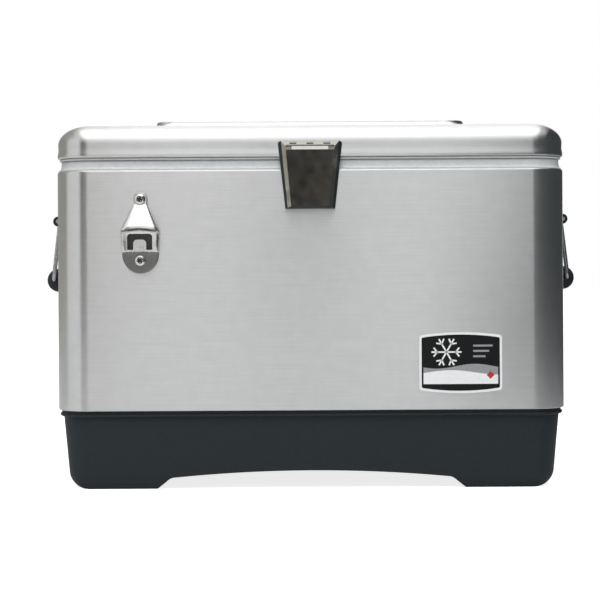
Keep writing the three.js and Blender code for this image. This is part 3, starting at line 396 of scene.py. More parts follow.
# Screen print on a metal plate: glossy inks
print_white = speckled_finish("white screen ink", 3, ("#eceded", "#f4f5f5"), (0.28, 0.36), 0.003, ior=1.5)
print_black = speckled_finish(
    "black screen ink", 3, ("#0f1011", "#151617"), (0.3, 0.38), 0.003, ior=1.5, specular_ior_level=0.2)
print_grey = speckled_finish("grey screen ink", 3, ("#8d9194", "#999da0"), (0.28, 0.36), 0.003, ior=1.5)
print_red = speckled_finish("red screen ink", 3, ("#b3202a", "#c02b34"), (0.28, 0.36), 0.003, ior=1.5)


# Body: rings round the plan that the base, the wrap, the flange and the lid share

wrap_low, wrap_high = span("outer_shell")
centre_y = (wrap_low.y + wrap_high.y) / 2
side = wrap_high.x
half_depth = (wrap_high.y - wrap_low.y) / 2
front, rear = wrap_low.y, wrap_high.y
corner_radius, corner_steps, least_radius = 40, 14, 2


def plan_ring(half_x, half_y, radius, height):
    """A rounded rectangle round the body's centre, at one height."""
    radius = max(radius, least_radius)
    points = []
    for corner, (x_sign, y_sign) in enumerate(((1, -1), (1, 1), (-1, 1), (-1, -1))):
        for step in range(corner_steps + 1):
            angle = (corner - 1 + step / corner_steps) * math.pi / 2
            points.append((
                x_sign * (half_x - radius) + radius * math.cos(angle),
                centre_y + y_sign * (half_y - radius) + radius * math.sin(angle),
                height,
            ))
    return points


def body_ring(inset, height):
    """A ring set back from the outside of the wrap."""
    return plan_ring(side - inset, half_depth - inset, corner_radius - inset, height)


def make_wrap():
    """The steel wrap with its hemmed foot and rolled shoulder, and the lapped seam at the rear."""
    foot, top = wrap_low.z, wrap_high.z
    sheet, hem, hem_radius, shoulder, lip, seam_half = 1.2, 3, 0.8, 3, 14, 9
    bend = shoulder - sheet
    outer = arc(8, lambda s, c: body_ring(shoulder * (1 - c), top - shoulder * (1 - s)))
    inner = arc(6, lambda s, c: body_ring(shoulder - bend * c, top - shoulder + bend * s))
    hem_round = arc(4, lambda s, c: body_ring(hem_radius * (1 - s), foot + hem_radius * (1 - c)))
    rings = [body_ring(hem, foot), *hem_round, *outer, body_ring(lip, top), body_ring(lip, top - sheet)]
    rings += [*inner[::-1], body_ring(sheet, foot + sheet), body_ring(hem, foot + sheet)]
    wrap = lofted("steel_wrap", rings, endless=True)
    lap = rounded(oblong(-seam_half, foot + 1, seam_half, top - shoulder - 1), 1)
    return merged("steel_wrap", [wrap, extruded("wrap_seam", lap, rear - 0.1, rear + 0.5, "y")])


fit(make_wrap(), "cooler_body", steel, ["outer_shell"])

drain_bore = 8.3
# Half-width at the foot and height in the middle
front_arch, side_arch = (175, 20.4), (105, 17)


def arch(half_width, height, grow):
    """The outline of an arch under the base: a toe, a bend, and a shallow rise to the middle."""
    toe, rise, bend, below = 15, 13, 5, 6
    foot = half_width + grow
    shoulder = foot - toe
    shelf = rise + grow
    half = [(foot, -below), (foot, 0)]
    for step in range(7):
        share = step / 6
        half.append((
            shoulder + bend * (1 - share) ** 2 - bend * share ** 2,
            shelf - bend * (1 - share) ** 2,
        ))
    for step in range(1, 12):
        across = (shoulder - bend) * (1 - step / 12)
        half.append((across, shelf + (height - rise) * (1 - (across / (shoulder - bend)) ** 2)))
    return half + [(0, height + grow)] + [(-across, up) for across, up in reversed(half)]


def arches(grow):
    """The two arches as blocks to cut with, grown by a wall."""
    through = [(a + centre_y, b) for a, b in arch(*side_arch, grow)]
    return [
        extruded("arch", arch(*front_arch, grow), front - 10, rear + 10, "y"),
        extruded("arch", through, -side - 10, side + 10, "x"),
    ]


def make_base():
    """The moulded base: a pan on four corner feet, arched underneath from front to rear and side to side."""
    neck, lip, tuck, wall = 5.9, 2, 3.6, 3
    side_inset, side_reach, front_inset, front_reach, round_height = 12.1, 22, 9, 4, 20
    lip_foot = wrap_low.z - 8
    top = span("base_tub")[1].z

    def foot_round(back):
        """The round from the sole up to the wall: long at the sides, short at front and rear."""
        return arc(10, lambda s, c: plan_ring(
            side - side_inset - side_reach + (side_reach - back) * s,
            half_depth - front_inset - front_reach + (front_reach - back) * s,
            corner_radius - side_inset - (side_reach - back) * (1 - s),
            round_height - (round_height - back) * c))

    base = lofted("base", [
        *foot_round(0),
        body_ring(neck, lip_foot), body_ring(lip + 0.6, lip_foot + 1.2), body_ring(lip, lip_foot + 1.8),
        body_ring(lip, lip_foot + 4), body_ring(lip + 0.4, lip_foot + 4.4),
        body_ring(tuck, lip_foot + 4.8), body_ring(tuck, top),
    ])
    inside = lofted("inside", [
        *foot_round(wall), body_ring(neck + wall, lip_foot),
        body_ring(tuck + wall, lip_foot + 4), body_ring(tuck + wall, top + 5),
    ])
    combined(inside, arches(wall))
    combined(base, [inside, *arches(0)])
    drain = middle_of("drain_gasket")
    drain.x = span("drain_gasket")[0].x
    combined(base, [turned("boss", [(17, -7.7), (17, -0.8), (16.2, -0.3)], drain, (1, 0, 0))], "UNION")
    hole = turned("hole", [(drain_bore, -14), (drain_bore, 5)], drain, (1, 0, 0))
    return eased(combined(base, [hole]), 0.8)


fit(make_base(), "cooler_body", black_plastic, ["base_tub"])

flange_top = span("inner_liner")[1].z
tub_x, tub_y, tub_radius = 251.5, 166, 34
liner_floor, floor_radius, liner_wall = 52, 16, 3
draft = math.tan(math.radians(1.5))


def liner_ring(height, grow=0):
    """A ring of the tub's drafted wall."""
    drawn_in = (flange_top - height) * draft
    return plan_ring(tub_x - drawn_in + grow, tub_y - drawn_in + grow, tub_radius + grow, height)


def floor_rings(grow):
    """Rings of the round between the tub's floor and its wall."""
    radius = floor_radius + grow
    return arc(8, lambda s, c: liner_ring(liner_floor + floor_radius - radius * c, grow - radius * (1 - s)))


def make_liner():
    """The white tub with its sump, and the flange that flares out over the shoulder of the wrap."""
    skirt, flange, flare, flare_height, edge, mouth, shoulder = 7.3, 4.6, 1.8, 6.6, 1.6, 3, 3
    foot, under = wrap_high.z + 0.1, flange_top - liner_wall
    flare_curve = arc(7, lambda s, c: body_ring(
        flange - (flange - flare) * (1 - s), foot + 0.8 + flare_height * (1 - c)))
    edge_curve = arc(5, lambda s, c: body_ring(flange + edge * (1 - c), flange_top - edge * (1 - s)))
    mouth_curve = arc(5, lambda s, c: liner_ring(flange_top - mouth * (1 - c), mouth * (1 - s)))
    tub = lofted("liner", [
        *floor_rings(liner_wall),
        liner_ring(under, liner_wall), body_ring(skirt, under), body_ring(skirt, foot),
        body_ring(shoulder, foot), body_ring(flare, foot - 0.6), *flare_curve, *edge_curve,
        *mouth_curve, *floor_rings(0)[::-1],
    ])
    wall = tub_x - (flange_top - liner_floor) * draft
    drain = middle_of("drain_nut")
    sump_length, sump_half, sump_floor, sump_top = 38, 20, 42, 76

    def sump(grow):
        half = sump_half + grow
        return oblong(wall - (sump_length + grow), drain.y - half, wall + grow, drain.y + half)

    storage = lofted("storage", [*floor_rings(0), liner_ring(under)])
    walls = extruded("sump_walls", sump(liner_wall), sump_floor - liner_wall, sump_top, "z")
    combined(walls, [storage])
    combined(tub, [walls], "UNION")
    recess = extruded("sump", rounded(sump(0), [6, 0, 0, 6]), sump_floor, sump_top, "z")
    hole = turned("hole", [(drain_bore, -10), (drain_bore, 12)], (wall, drain.y, drain.z), (1, 0, 0))
    return combined(tub, [recess, hole])


fit(make_liner(), "cooler_body", white_plastic, ["inner_liner"])


# Lid

lid_foot, panel_top = span("lid_shell")[0].z, span("lid_shell")[1].z
crown_foot, lid_top = 391, 414
panel_x, panel_y, panel_radius = 182, 156, 24


def panel_ring(inset, height):
    """A ring of the raised panel on the lid."""
    return plan_ring(panel_x - inset, panel_y - inset, panel_radius - inset, height)


def make_lid():
    """The domed lid: a hem rolled into a bead, a faintly barrelled wall, the crown and the raised panel."""
    sheet, hem, reach, rise, crown_inset = 1.2, 8, 36.7, 23, 0.7
    foot = lid_foot + 1
    bead = arc(7, lambda s, c: body_ring(2.2 * (1 - s), foot + 3.4 * (1 - c)))
    wall = [
        body_ring(0.2, foot + 4.8), body_ring(0.6, foot + 6.8),
        body_ring(0.95, foot + 9.2), body_ring(1, foot + 12),
    ]
    crown = arc(16, lambda s, c: body_ring(reach - (reach - crown_inset) * c, crown_foot + rise * s))
    step_up = [
        panel_ring(-1.2, lid_top), panel_ring(0.4, lid_top + 0.5), panel_ring(3.3, panel_top - 2.3),
        panel_ring(3.6, panel_top - 0.5), panel_ring(4.2, panel_top), panel_ring(6, panel_top),
    ]
    under_crown = arc(10, lambda s, c: body_ring(
        reach - (reach - crown_inset - sheet) * c, crown_foot + (rise - sheet) * s))
    return lofted("lid_skin", [
        panel_ring(7.5, panel_top - sheet), panel_ring(0, lid_top - sheet),
        *under_crown[::-1], body_ring(1 + sheet, foot + 9.2), body_ring(1 + sheet, foot + sheet),
        body_ring(hem, foot + sheet), body_ring(hem, foot), *bead, *wall, *crown, *step_up,
    ])


fit(make_lid(), "lid", steel, ["lid_shell"])


def make_lid_liner():
    """The lid's plastic liner: the bead under the hem, and the plug with a recessed panel."""
    plug_x, plug_y, plug_radius = 248.5, 163, 31
    skirt, edge, edge_inset = 8.3, 1.25, 2.4
    bottom, under, top = span("lid_liner")[0].z, lid_foot - 1.8, lid_foot + 0.7
    bead = []
    for step in range(9):
        angle = math.pi * step / 8 - math.pi / 2
        inset = edge_inset + edge - edge * math.cos(angle)
        bead.append(body_ring(inset, under + edge + edge * math.sin(angle)))

    def plug(inset, height):
        return plan_ring(plug_x - inset, plug_y - inset, plug_radius - inset, height)

    return lofted("lid_liner_panel", [
        plug(24, bottom + 2.2), plug(19, bottom + 2), plug(16, bottom + 0.2), plug(14, bottom),
        plug(4.5, bottom), plug(3, bottom + 0.6), plug(0.6, bottom + 3), plug(0, bottom + 4.6),
        plug(0, under - 2), plug(-1.5, under - 0.4), plug(-3, under), *bead,
        body_ring(skirt, top), body_ring(skirt, top + 1.5), plug(3, top + 1.5),
        plug(3, bottom + 5), plug(6, bottom + 3.1), plug(24, bottom + 3.1),
    ])


fit(make_lid_liner(), "lid", white_plastic, ["lid_liner"])

for node in ("body_insulation", "lid_insulation"):
    paint(frame["nodes"][node].data, foam)


# Latch: a smoked lever in the notches of which the bracket's knuckles show

latch_low, latch_high = span("latch_lever")
latch_back, latch_face = latch_high.y, latch_low.y
latch_top, latch_foot = latch_high.z, latch_low.z
# Depths at which the sides change their slope
latch_edge, latch_crest = latch_back - 2.7, latch_back - 8.7
pin_low, pin_high = span("latch_pin")
pin = (pin_low + pin_high) / 2
pin_bore, knuckles, knuckle_half = 2.3, (-19, 0, 19), 3.5
facet_crease = 6


def latch_form(name, grow, back, face):
    """The faceted block of the lever, grown or shrunk by a wall."""
    half_foot, half_top, foot_taper, top_taper, foot_rise = 28, 36.35, 6.5, 9.2, 2.4

    def ring(depth, share, drop):
        bottom = half_foot - foot_taper * share + grow
        top = half_top - top_taper * share + grow
        foot = latch_foot + foot_rise * share - grow
        head = latch_top - drop + grow
        return [(-bottom, depth, foot), (bottom, depth, foot), (top, depth, head), (-top, depth, head)]

    # The sides slope in two facets, and the top slopes in a long one and a short one
    return lofted(name, [
        ring(back, 0, 0), ring(latch_edge, 0, 0), ring(latch_crest, 0.42, 0),
        ring(face + 1.1, 0.84, 4.9), ring(face, 1, 9.9),
    ], sharp=facet_crease)


def make_latch():
    """The hollow lever with its hook, notched for the bracket."""
    wall, clear, nose, hook_half, notch_half = 2.6, 6, 6.9, 21.5, knuckle_half + 0.3
    lever = latch_form("latch", 0, latch_back, latch_face)
    hollow = latch_form("hollow", -wall, latch_back + clear, latch_face + wall)
    room = bar("room", 4.8, -27.15, 27.15, pin)
    # The upper rear corner is rounded about the pin, so that it clears the lid
    rounding = [(pin.y, latch_top + clear), (pin.y, latch_top)]
    for step in range(1, 19):
        angle = math.pi / 2 * (1 - step / 18)
        rounding.append((pin.y + nose * math.cos(angle), pin.z + nose * math.sin(angle)))
    rounding += [(latch_back + clear, pin.z), (latch_back + clear, latch_top + clear)]
    corner = extruded("corner", rounding, -80, 80, "x")
    combined(lever, [hollow, room, corner], sharp=facet_crease)
    keeper_foot = span("latch_keeper")[0].z
    hook = oblong(latch_face + 1.3, keeper_foot - 3.5, front - 2.8, keeper_foot - 0.5)
    combined(lever, [extruded("hook", hook, -hook_half, hook_half, "x")], "UNION", sharp=facet_crease)
    notch = oblong(latch_back - 11, pin.z, latch_back + clear, latch_top + clear)
    notches = [extruded("notch", notch, place - notch_half, place + notch_half, "x") for place in knuckles]
    combined(lever, [*notches, bar("pin_hole", pin_bore, -28.95, 28.95, pin)], sharp=facet_crease)
    return eased(lever, 0.5)


def plating(normal, place):
    """Lighter on the front of the two long bevels, a painted highlight. The rear of the sides is black
    plastic, and so is the underside, where it stands for painted shade.
    """
    on_flank = abs(normal.x) > 0.3 and abs(place.x) > 20
    if normal.z < -0.9 or (on_flank and place.y > latch_crest):
        return black_plastic
    return highlight_nickel if on_flank else black_nickel


lever = make_latch()
paint_faces(lever.data, [black_nickel, black_plastic, highlight_nickel], plating)
fit(lever, "latch", nodes=["latch_lever"])


def make_painted_highlight_strip():
    """A bright strip along the top edge of the lever: a painted highlight."""
    top, foot, half = latch_top - 5.9, latch_top - 9.5, 20.5
    strip = [
        (latch_face + 0.76, top), (latch_face - 0.05, foot),
        (latch_face + 0.8, foot), (latch_face + 1.6, top),
    ]
    return extruded("latch_painted_highlight_strip", strip, -half, half, "x")


fit(make_painted_highlight_strip(), "latch", cast_steel)


def make_bracket():
    """The bracket on the lid: a plate with three knuckles for the pin."""
    low, high = span("latch_bracket")
    back, half, sheet = high.y, 26, 1.6
    outline = rounded(oblong(-half, low.z, half, high.z), 2)
    bracket = extruded("latch_bracket_plate", outline, back - sheet, back, "y")
    for place in knuckles:
        start, finish = place - knuckle_half, place + knuckle_half
        eye = bar("eye", 4.5, start, finish, pin)
        web = extruded("web", oblong(pin.y, low.z, back, pin.z), start, finish, "x")
        combined(bracket, [eye, web], "UNION")
    return eased(combined(bracket, [bar("bore", pin_bore, -40, 40, pin)]), 0.3, 2)


fit(make_bracket(), "lid", black_plastic, ["latch_bracket"])
fit(bar("latch_hinge_pin", 2, pin_low.x, pin_high.x, pin), "lid", zinc_steel, ["latch_pin"])


def make_keeper():
    """The keeper on the body, with the nose that the hook snaps under."""
    low, high = span("latch_keeper")
    back, tip = high.y, low.y
    face = back - 2
    profile = rounded([
        (back, low.z), (back, high.z), (face, high.z), (face, low.z + 8.5), (tip, low.z + 4), (tip, low.z),
    ], [0, 0, 0.8, 1.5, 1, 0.5], 4)
    return eased(extruded("keeper", profile, low.x, high.x, "x"), 0.4, 2)


fit(make_keeper(), "cooler_body", black_plastic, ["latch_keeper"])


# Bottle opener: cast in one, with an arched hood, a mouth and a tongue

def make_opener():
    """The casting as sections from its tab down to its round foot, with the mouth cut in."""
    low, high = span("bottle_opener")
    middle, back, top, foot = (low.x + high.x) / 2, high.y, high.z, low.z
    plate, tab_radius, foot_half = 3, 8, 20.6
    upper_screw = top - tab_radius
    lower_screw = upper_screw - 69
    hood_top, hood_foot, cheek_foot = top - 15, top - 45, top - 68
    round_top = cheek_foot - 0.6

    def section(height, half, proud, rise, squareness):
        """A section with a flat back, whose middle is lifted by the rise."""
        points = []
        for step in range(33):
            angle = math.pi * step / 32
            c, s = math.cos(angle), math.sin(angle)
            across = math.copysign(abs(c) ** (2 / squareness), c)
            out = abs(s) ** (2 / squareness)
            points.append((middle + half * across, back - proud * out, height + rise * (1 - across * across)))
        return points

    sections = []
    for step in range(7):
        angle = math.pi / 2 * (1 - step / 6) - 1e-3
        height, half = upper_screw + tab_radius * math.sin(angle), tab_radius * math.cos(angle) + 0.2
        sections.append(section(height, half, plate, 0, 9))
    sections += [section(*row) for row in (
        (hood_top + 2, 7.8, 3.2, 0, 8), (hood_top - 1, 8.6, 5.2, 0, 5), (hood_top - 8, 12, 9.5, 0, 5),
        (hood_top - 16, 15.8, 12.8, 0.6, 5.5), (hood_top - 24, 19.6, 15.6, 2.0, 6),
        (hood_foot + 2.4, 21.7, 16.8, 3.4, 6), (hood_foot + 0.8, 22, 17, 3.8, 6),
        (hood_foot - 0.2, 21.9, 16.4, 3.8, 6), (hood_foot - 1.2, 21.7, 14, 3.6, 6),
        (hood_foot - 2.4, 21.5, 10.6, 3.2, 6), (hood_foot - 6, 21.3, 9.6, 1.2, 7),
        (hood_foot - 14, 21, 9, 0, 7), (cheek_foot + 2, 20.7, 8.6, 0, 7),
        (cheek_foot + 0.6, foot_half, 7.4, 0, 8), (round_top, foot_half, 3.6, 0, 12),
    )]
    for step in range(1, 13):
        angle = math.pi / 2 * step / 12 - 1e-3
        height, half = round_top - (round_top - foot) * math.sin(angle), foot_half * math.cos(angle) + 0.1
        sections.append(section(height, half, plate, 0, 12))
    casting = lofted("opener", sections, sharp=50)

    mouth_foot, mouth_top, tongue_top = cheek_foot + 3, cheek_foot + 21, cheek_foot + 14.5
    mouth_half, tongue_half = 14, 7.3
    mouth = rounded([
        (middle - mouth_half, mouth_foot), (middle - mouth_half, mouth_top),
        (middle + mouth_half, mouth_top), (middle + mouth_half, mouth_foot),
        (middle + tongue_half, mouth_foot), (middle + tongue_half, tongue_top),
        (middle - tongue_half, tongue_top), (middle - tongue_half, mouth_foot),
    ], [1.2, 3.4, 3.4, 1.2, 1, 4.5, 4.5, 1])
    behind = oblong(middle - mouth_half, mouth_foot, middle + mouth_half, mouth_top)
    cutters = [
        extruded("opening", mouth, back - 24, back - plate, "y"),
        extruded("behind", behind, back - 6, back - plate, "y"),
    ]
    for height in (upper_screw, lower_screw):
        cutters.append(turned("hole", [(2.9, -20), (2.9, 20)], (middle, back, height), (0, 1, 0), 20))
    combined(casting, cutters, sharp=50)

    def skin(normal, place):
        """Polished steel, with painted shade under the hood, on the foot and deep in the mouth."""
        in_mouth = abs(place.x - middle) < mouth_half + 0.1 and mouth_foot - 0.1 < place.z < mouth_top + 0.1
        under_hood = place.y < back - 13.8 and place.z > hood_foot - 3 and normal.z < -0.4
        if place.z < cheek_foot - 0.5 or under_hood:
            return shaded_cast_steel
        return deep_shade_cast_steel if in_mouth and place.y > back - 8 else cast_steel

    paint_faces(casting.data, [cast_steel, shaded_cast_steel, deep_shade_cast_steel], skin)
    return eased(casting, 0.5)


fit(make_opener(), "cooler_body", nodes=["bottle_opener"])


# Badge: a bowed plate with a raised rim and a print of a snow crystal over hills

def make_badge():
    """The plate, its white rim and its print, each ink a thin layer of its own."""
    low, high = span("badge_plate")
    middle_x, middle_z = (low.x + high.x) / 2, (low.z + high.z) / 2
    face, back = low.y, high.y
    half, edge, bow, print_half = 46.6, 30.85, 3.4, 42
    crystal = Vector((-16, 12))
    layers = []

    def bowed(inset, corner):
        """The plate's outline, bowed above and below."""
        points, radii = [], []
        width, height = half - inset, edge - inset
        for sign in (-1, 1):
            for step in range(13):
                across = -sign * width * (step / 6 - 1)
                rise = height + bow * (1 - (across / width) ** 2)
                points.append((middle_x - across, middle_z + sign * rise))
                radii.append(corner if step in (0, 12) else 0)
        return rounded(points, radii)

    def add_layer(outline, finish, start, end):
        layer = extruded("layer", outline, start, end, "y")
        paint(layer.data, finish)
        layers.append(layer)

    def ink(points, finish, depth):
        """One ink, at a depth behind the foremost face. The points are from the plate's middle."""
        add_layer([(middle_x + a, middle_z + b) for a, b in points], finish, face + depth, face + 0.28)

    def hills(foot, crest, phase, waves):
        points = []
        for step in range(33):
            across = -print_half + 2 * print_half * step / 32
            points.append((across, crest + 2.6 * math.sin(phase + waves * across / print_half)))
        return points + [(print_half, foot), (-print_half, foot)]

    add_layer(bowed(0, 3.5), print_white, face + 0.25, back)
    add_layer(bowed(2.6, 2), print_black, face + 0.15, face + 0.3)
    ink(hills(-24, -4, 0.4, 3.1), print_grey, 0.1)
    ink(hills(-27, -11, 2.2, 2.4), print_white, 0.05)
    ink(oblong(-print_half, -28.6, print_half, -24), print_black, 0.02)
    for arm in range(6):
        turn = Matrix.Rotation(math.radians(60 * arm + 30), 2)
        twigs = [[(0, 9.4), (sign * 5.4, 13.6), (sign * 4.6, 15.2), (0, 11.6)] for sign in (-1, 1)]
        for shape in (oblong(-0.9, 0, 0.9, 17), *twigs):
            ink([turn @ Vector(point) + crystal for point in shape], print_white, 0.06)
    for row in range(3):
        foot = 18 - 6 * row
        ink(oblong(14, foot, 36 - 4 * row, foot + 2.2), print_grey, 0.08)
    ink([(29, -14), (33.5, -9.5), (38, -14), (33.5, -18.5)], print_red, 0.02)
    return merged("badge", layers)


fit(make_badge(), "cooler_body", nodes=["badge_plate"])


# Handles: a bent rod, a ribbed grip and two mounts on each side

# The bails lean in towards the body, and hold the grips this far below the pivots
bail_lean = math.radians(6.6)
grip_drop = 70.5


def make_rod(name, hang):
    """The rod, bent from the front ear to the rear ear. Its path runs along the side and down."""
    radius, bend, end, leg = 2.5, 7, 92, 75
    half = [(end, 0)]
    half += arc(10, lambda s, c: (leg + bend - bend * s, bend * c - bend))
    half += arc(10, lambda s, c: (leg - bend + bend * c, bend - grip_drop - bend * s))
    path = [(-along, height) for along, height in half] + half[::-1]
    rings = []
    for i, (along, height) in enumerate(path):
        before, after = path[max(i - 1, 0)], path[min(i + 1, len(path) - 1)]
        here = Vector((0, along, height))
        arriving = (here - Vector((0, *before))).normalized()
        leaving = (Vector((0, *after)) - here).normalized()
        across = (arriving + leaving).normalized().cross(Vector((1, 0, 0)))
        ring = []
        for step in range(20):
            angle = 2 * math.pi * step / 20
            rim = Vector((radius * math.cos(angle), 0, 0)) + across * radius * math.sin(angle)
            ring.append(hang @ (here + rim))
        rings.append(ring)
    return lofted(f"{name}_rod", rings)


def make_grip(name, sign, hang):
    """The grip: round outside and flatter towards the body, with shallow ribs along its length."""
    half, inner, shift, half_length, pitch, groove = 14, 13, 4, 60, 7.5, 0.045
    outline = []
    for step in range(48):
        angle = 2 * math.pi * step / 48
        c, s = math.cos(angle), math.sin(angle)
        reach, squareness = (half, 2) if c > 0 else (inner, 3.2)
        outline.append((reach * math.copysign(abs(c) ** (2 / squareness), c),
                        half * math.copysign(abs(s) ** (2 / squareness), s)))
    # Places along the grip, each with its share of the full section
    end = [(-65, 0.1), (-65, 0.72), (-64.2, 0.86), (-62.6, 0.95), (-half_length, 1.0)]
    stations = list(end)
    for step in range(1, 96):
        along = -half_length + 2 * half_length * step / 96
        rib = abs(math.sin(math.pi * (along + half_length) / pitch))
        stations.append((along, 1 - groove + groove * min(1, rib * 2)))
    stations += [(-along, share) for along, share in reversed(end)]
    return lofted(f"{name}_sleeve", [
        [hang @ Vector((sign * (a * share - shift), along, b * share - grip_drop)) for a, b in outline]
        for along, share in stations
    ], sharp=60)


def make_mount(node, sign, at_front, pivot):
    """A moulded plate with the ear that the rod turns in."""
    sheet, ear_half, tip_radius, ear_from, ear_to = 2, 8, 6, 2, 9
    low, high = span(node)
    plate_from = low.x if sign > 0 else high.x
    outline = rounded(oblong(low.y, low.z, high.y, high.z), 5)
    mount = extruded(f"{node}_plate", outline, plate_from, plate_from + sheet * sign, "x")
    start, finish = (high.y - ear_to, high.y - ear_from) if at_front else (low.y + ear_from, low.y + ear_to)
    profile = [(plate_from + sign, pivot.z - ear_half)]
    for step in range(17):
        angle = -math.pi / 2 + math.pi * step / 16
        profile.append((
            pivot.x + sign * tip_radius * math.cos(angle), pivot.z + tip_radius * math.sin(angle)))
    profile.append((plate_from + sign, pivot.z + ear_half))
    combined(mount, [extruded("ear", profile, start, finish, "y")], "UNION")
    eye = turned("eye", [(2.8, -20), (2.8, 20)], (pivot.x, (start + finish) / 2, pivot.z), (0, 1, 0), 24)
    return eased(combined(mount, [eye]), 0.5)


for side_name, sign in (("left", -1), ("right", 1)):
    handle = f"handle_{side_name}"
    swing = next(joint for joint in behaviour["joints"] if joint["name"] == f"{handle}_swing")
    pivot = Vector(swing["pos_m"]) * 1000
    hang = Matrix.Translation(pivot) @ Matrix.Rotation(-bail_lean * sign, 4, "Y")
    fit(make_rod(handle, hang), handle, zinc_steel, [f"{handle}_bail"])
    fit(make_grip(handle, sign, hang), handle, grip_rubber, [f"{handle}_grip"])
    for end in ("front", "rear"):
        node = f"{handle}_mount_{end}"
        mount = make_mount(node, sign, end == "front", pivot)
        fit(mount, "cooler_body", black_plastic, [node])


# Rear hinges

def make_leaf(node, knuckles, foot, top, face, axis):
    """A hinge leaf: a plate with rounded corners, and the knuckles rolled from it."""
    sheet, barrel, bore = 2, 5.5, 2.8
    low, high = span(node)
    below = foot < axis.z
    outline = rounded(oblong(low.x, foot, high.x, top), [3, 3, 0, 0] if below else [0, 0, 3, 3])
    leaf = extruded(f"{node}_strip", outline, face, face + sheet, "y")
    barrel_face = axis.y - barrel
    neck_foot, neck_top = (top, axis.z) if below else (axis.z, foot)
    neck = oblong(barrel_face, neck_foot, max(barrel_face, face) + sheet, neck_top + 0.01)
    for start, finish in knuckles:
        joined = [bar("roll", barrel, start, finish, axis), extruded("neck", neck, start, finish, "x")]
        if not below:
            shelf = oblong(face, foot, barrel_face + sheet, foot + sheet)
            joined.append(extruded("shelf", shelf, start, finish, "x"))
        combined(leaf, joined, "UNION")
    combined(leaf, [bar("bore", bore, low.x - 5, high.x + 5, axis)])
    return eased(leaf, 0.3, 2)


for side_name in ("left", "right"):
    body_leaf, lid_leaf, pin_node = (f"hinge_{side_name}_{part}" for part in ("body_leaf", "lid_leaf", "pin"))
    low, high = span(pin_node)
    axis = (low + high) / 2
    body_low, body_high = span(body_leaf)
    outer_knuckles = [(body_low.x, axis.x - 12.3), (axis.x + 12.3, body_high.x)]
    leaf = make_leaf(body_leaf, outer_knuckles, body_low.z, axis.z - 7, body_low.y, axis)
    fit(leaf, "cooler_body", hinge_steel, [body_leaf])
    lid_low, lid_high = span(lid_leaf)
    leaf = make_leaf(lid_leaf, [(axis.x - 12, axis.x + 12)], lid_high.z - 12, lid_high.z, lid_low.y, axis)
    fit(leaf, "lid", hinge_steel, [lid_leaf])
    profile = [(1.6, low.x), (2.5, low.x + 0.6), (2.5, high.x - 0.6), (1.6, high.x)]
    rod = turned_on_x(f"{pin_node}_rod", profile, axis, 28)
    fit(rod, "cooler_body", zinc_steel, [pin_node])


# Screws: pan heads with a cross recess

def make_screw_mesh(name, head, height, shank, length, recess):
    """A screw that points up, with the top of its head at the origin."""
    profile = [
        (0.05, -length), (shank * 0.5, -length + 0.2), (shank, -length + 2),
        (shank, -height), (head, -height),
    ]
    for step in range(9):
        angle = math.pi / 2 * step / 8
        profile.append((max(head * math.cos(angle) ** 0.8, 0.05), -height * 0.72 * (1 - math.sin(angle))))
    screw = turned(name, profile, (0, 0, 0), (0, 0, 1), 28)
    wide, narrow = recess
    blades = [
        extruded("blade", oblong(-a, -b, a, b), -height * 0.7, 2, "z")
        for a, b in ((wide, narrow), (narrow, wide))
    ]
    combined(screw, [combined(blades[0], [blades[1]], "UNION")])
    mesh = screw.data
    paint(mesh, zinc_steel)
    bpy.data.objects.remove(screw)
    return mesh


def recess_painted_shade(normal, place):
    """Painted shade in the recess of a bright screw."""
    return deep_shade_cast_steel if place.xy.length < 3.4 and -3.2 < place.z < -0.3 else cast_steel


small_screw = make_screw_mesh("pan_screw", 4, 2.5, 1.8, 16.5, (2.0, 0.45))
short_screw = make_screw_mesh("short_pan_screw", 4, 2.5, 1.8, 8.9, (2.0, 0.45))
opener_screw = make_screw_mesh("opener_screw", 6.2, 3.7, 2.6, 21.7, (3.2, 1.3))
paint_faces(opener_screw, [cast_steel, deep_shade_cast_steel], recess_painted_shade)
for node in list(frame["nodes"]):
    if "_screw_" not in node:
        continue
    low, high = span(node)
    middle, half = (low + high) / 2, (high - low) / 2
    if node.startswith("handle"):
        outward = Vector((1 if middle.x > 0 else -1, 0, 0))
    else:
        outward = Vector((0, 1 if node.startswith(("hinge", "latch_bracket")) else -1, 0))
    head_top = middle + outward * abs(half.dot(outward))
    if node.startswith("opener"):
        mesh = opener_screw
    else:
        mesh = short_screw if node.startswith("latch_bracket") else small_screw
    screw = new_object(f"{node}_turned", mesh)
    turn = Vector((0, 0, 1)).rotation_difference(outward).to_matrix().to_4x4()
    # The node's name picks the angle at which the screw stops
    spin = Matrix.Rotation(math.radians(sum(map(ord, node)) * 37 % 90), 4, "Z")
    screw.matrix_world = Matrix.Translation(head_top / 1000) @ turn @ spin
    body = next(name for name, nodes in behaviour["bodies"].items() if node in nodes)
    fit(screw, body, nodes=[node])


# Drain

def bored(piece, radius, low, high, axis):
    """Cuts a bore along X through a piece of the drain."""
    return combined(piece, [turned_on_x("bore", [(radius, low.x - 5), (radius, high.x + 5)], axis)])


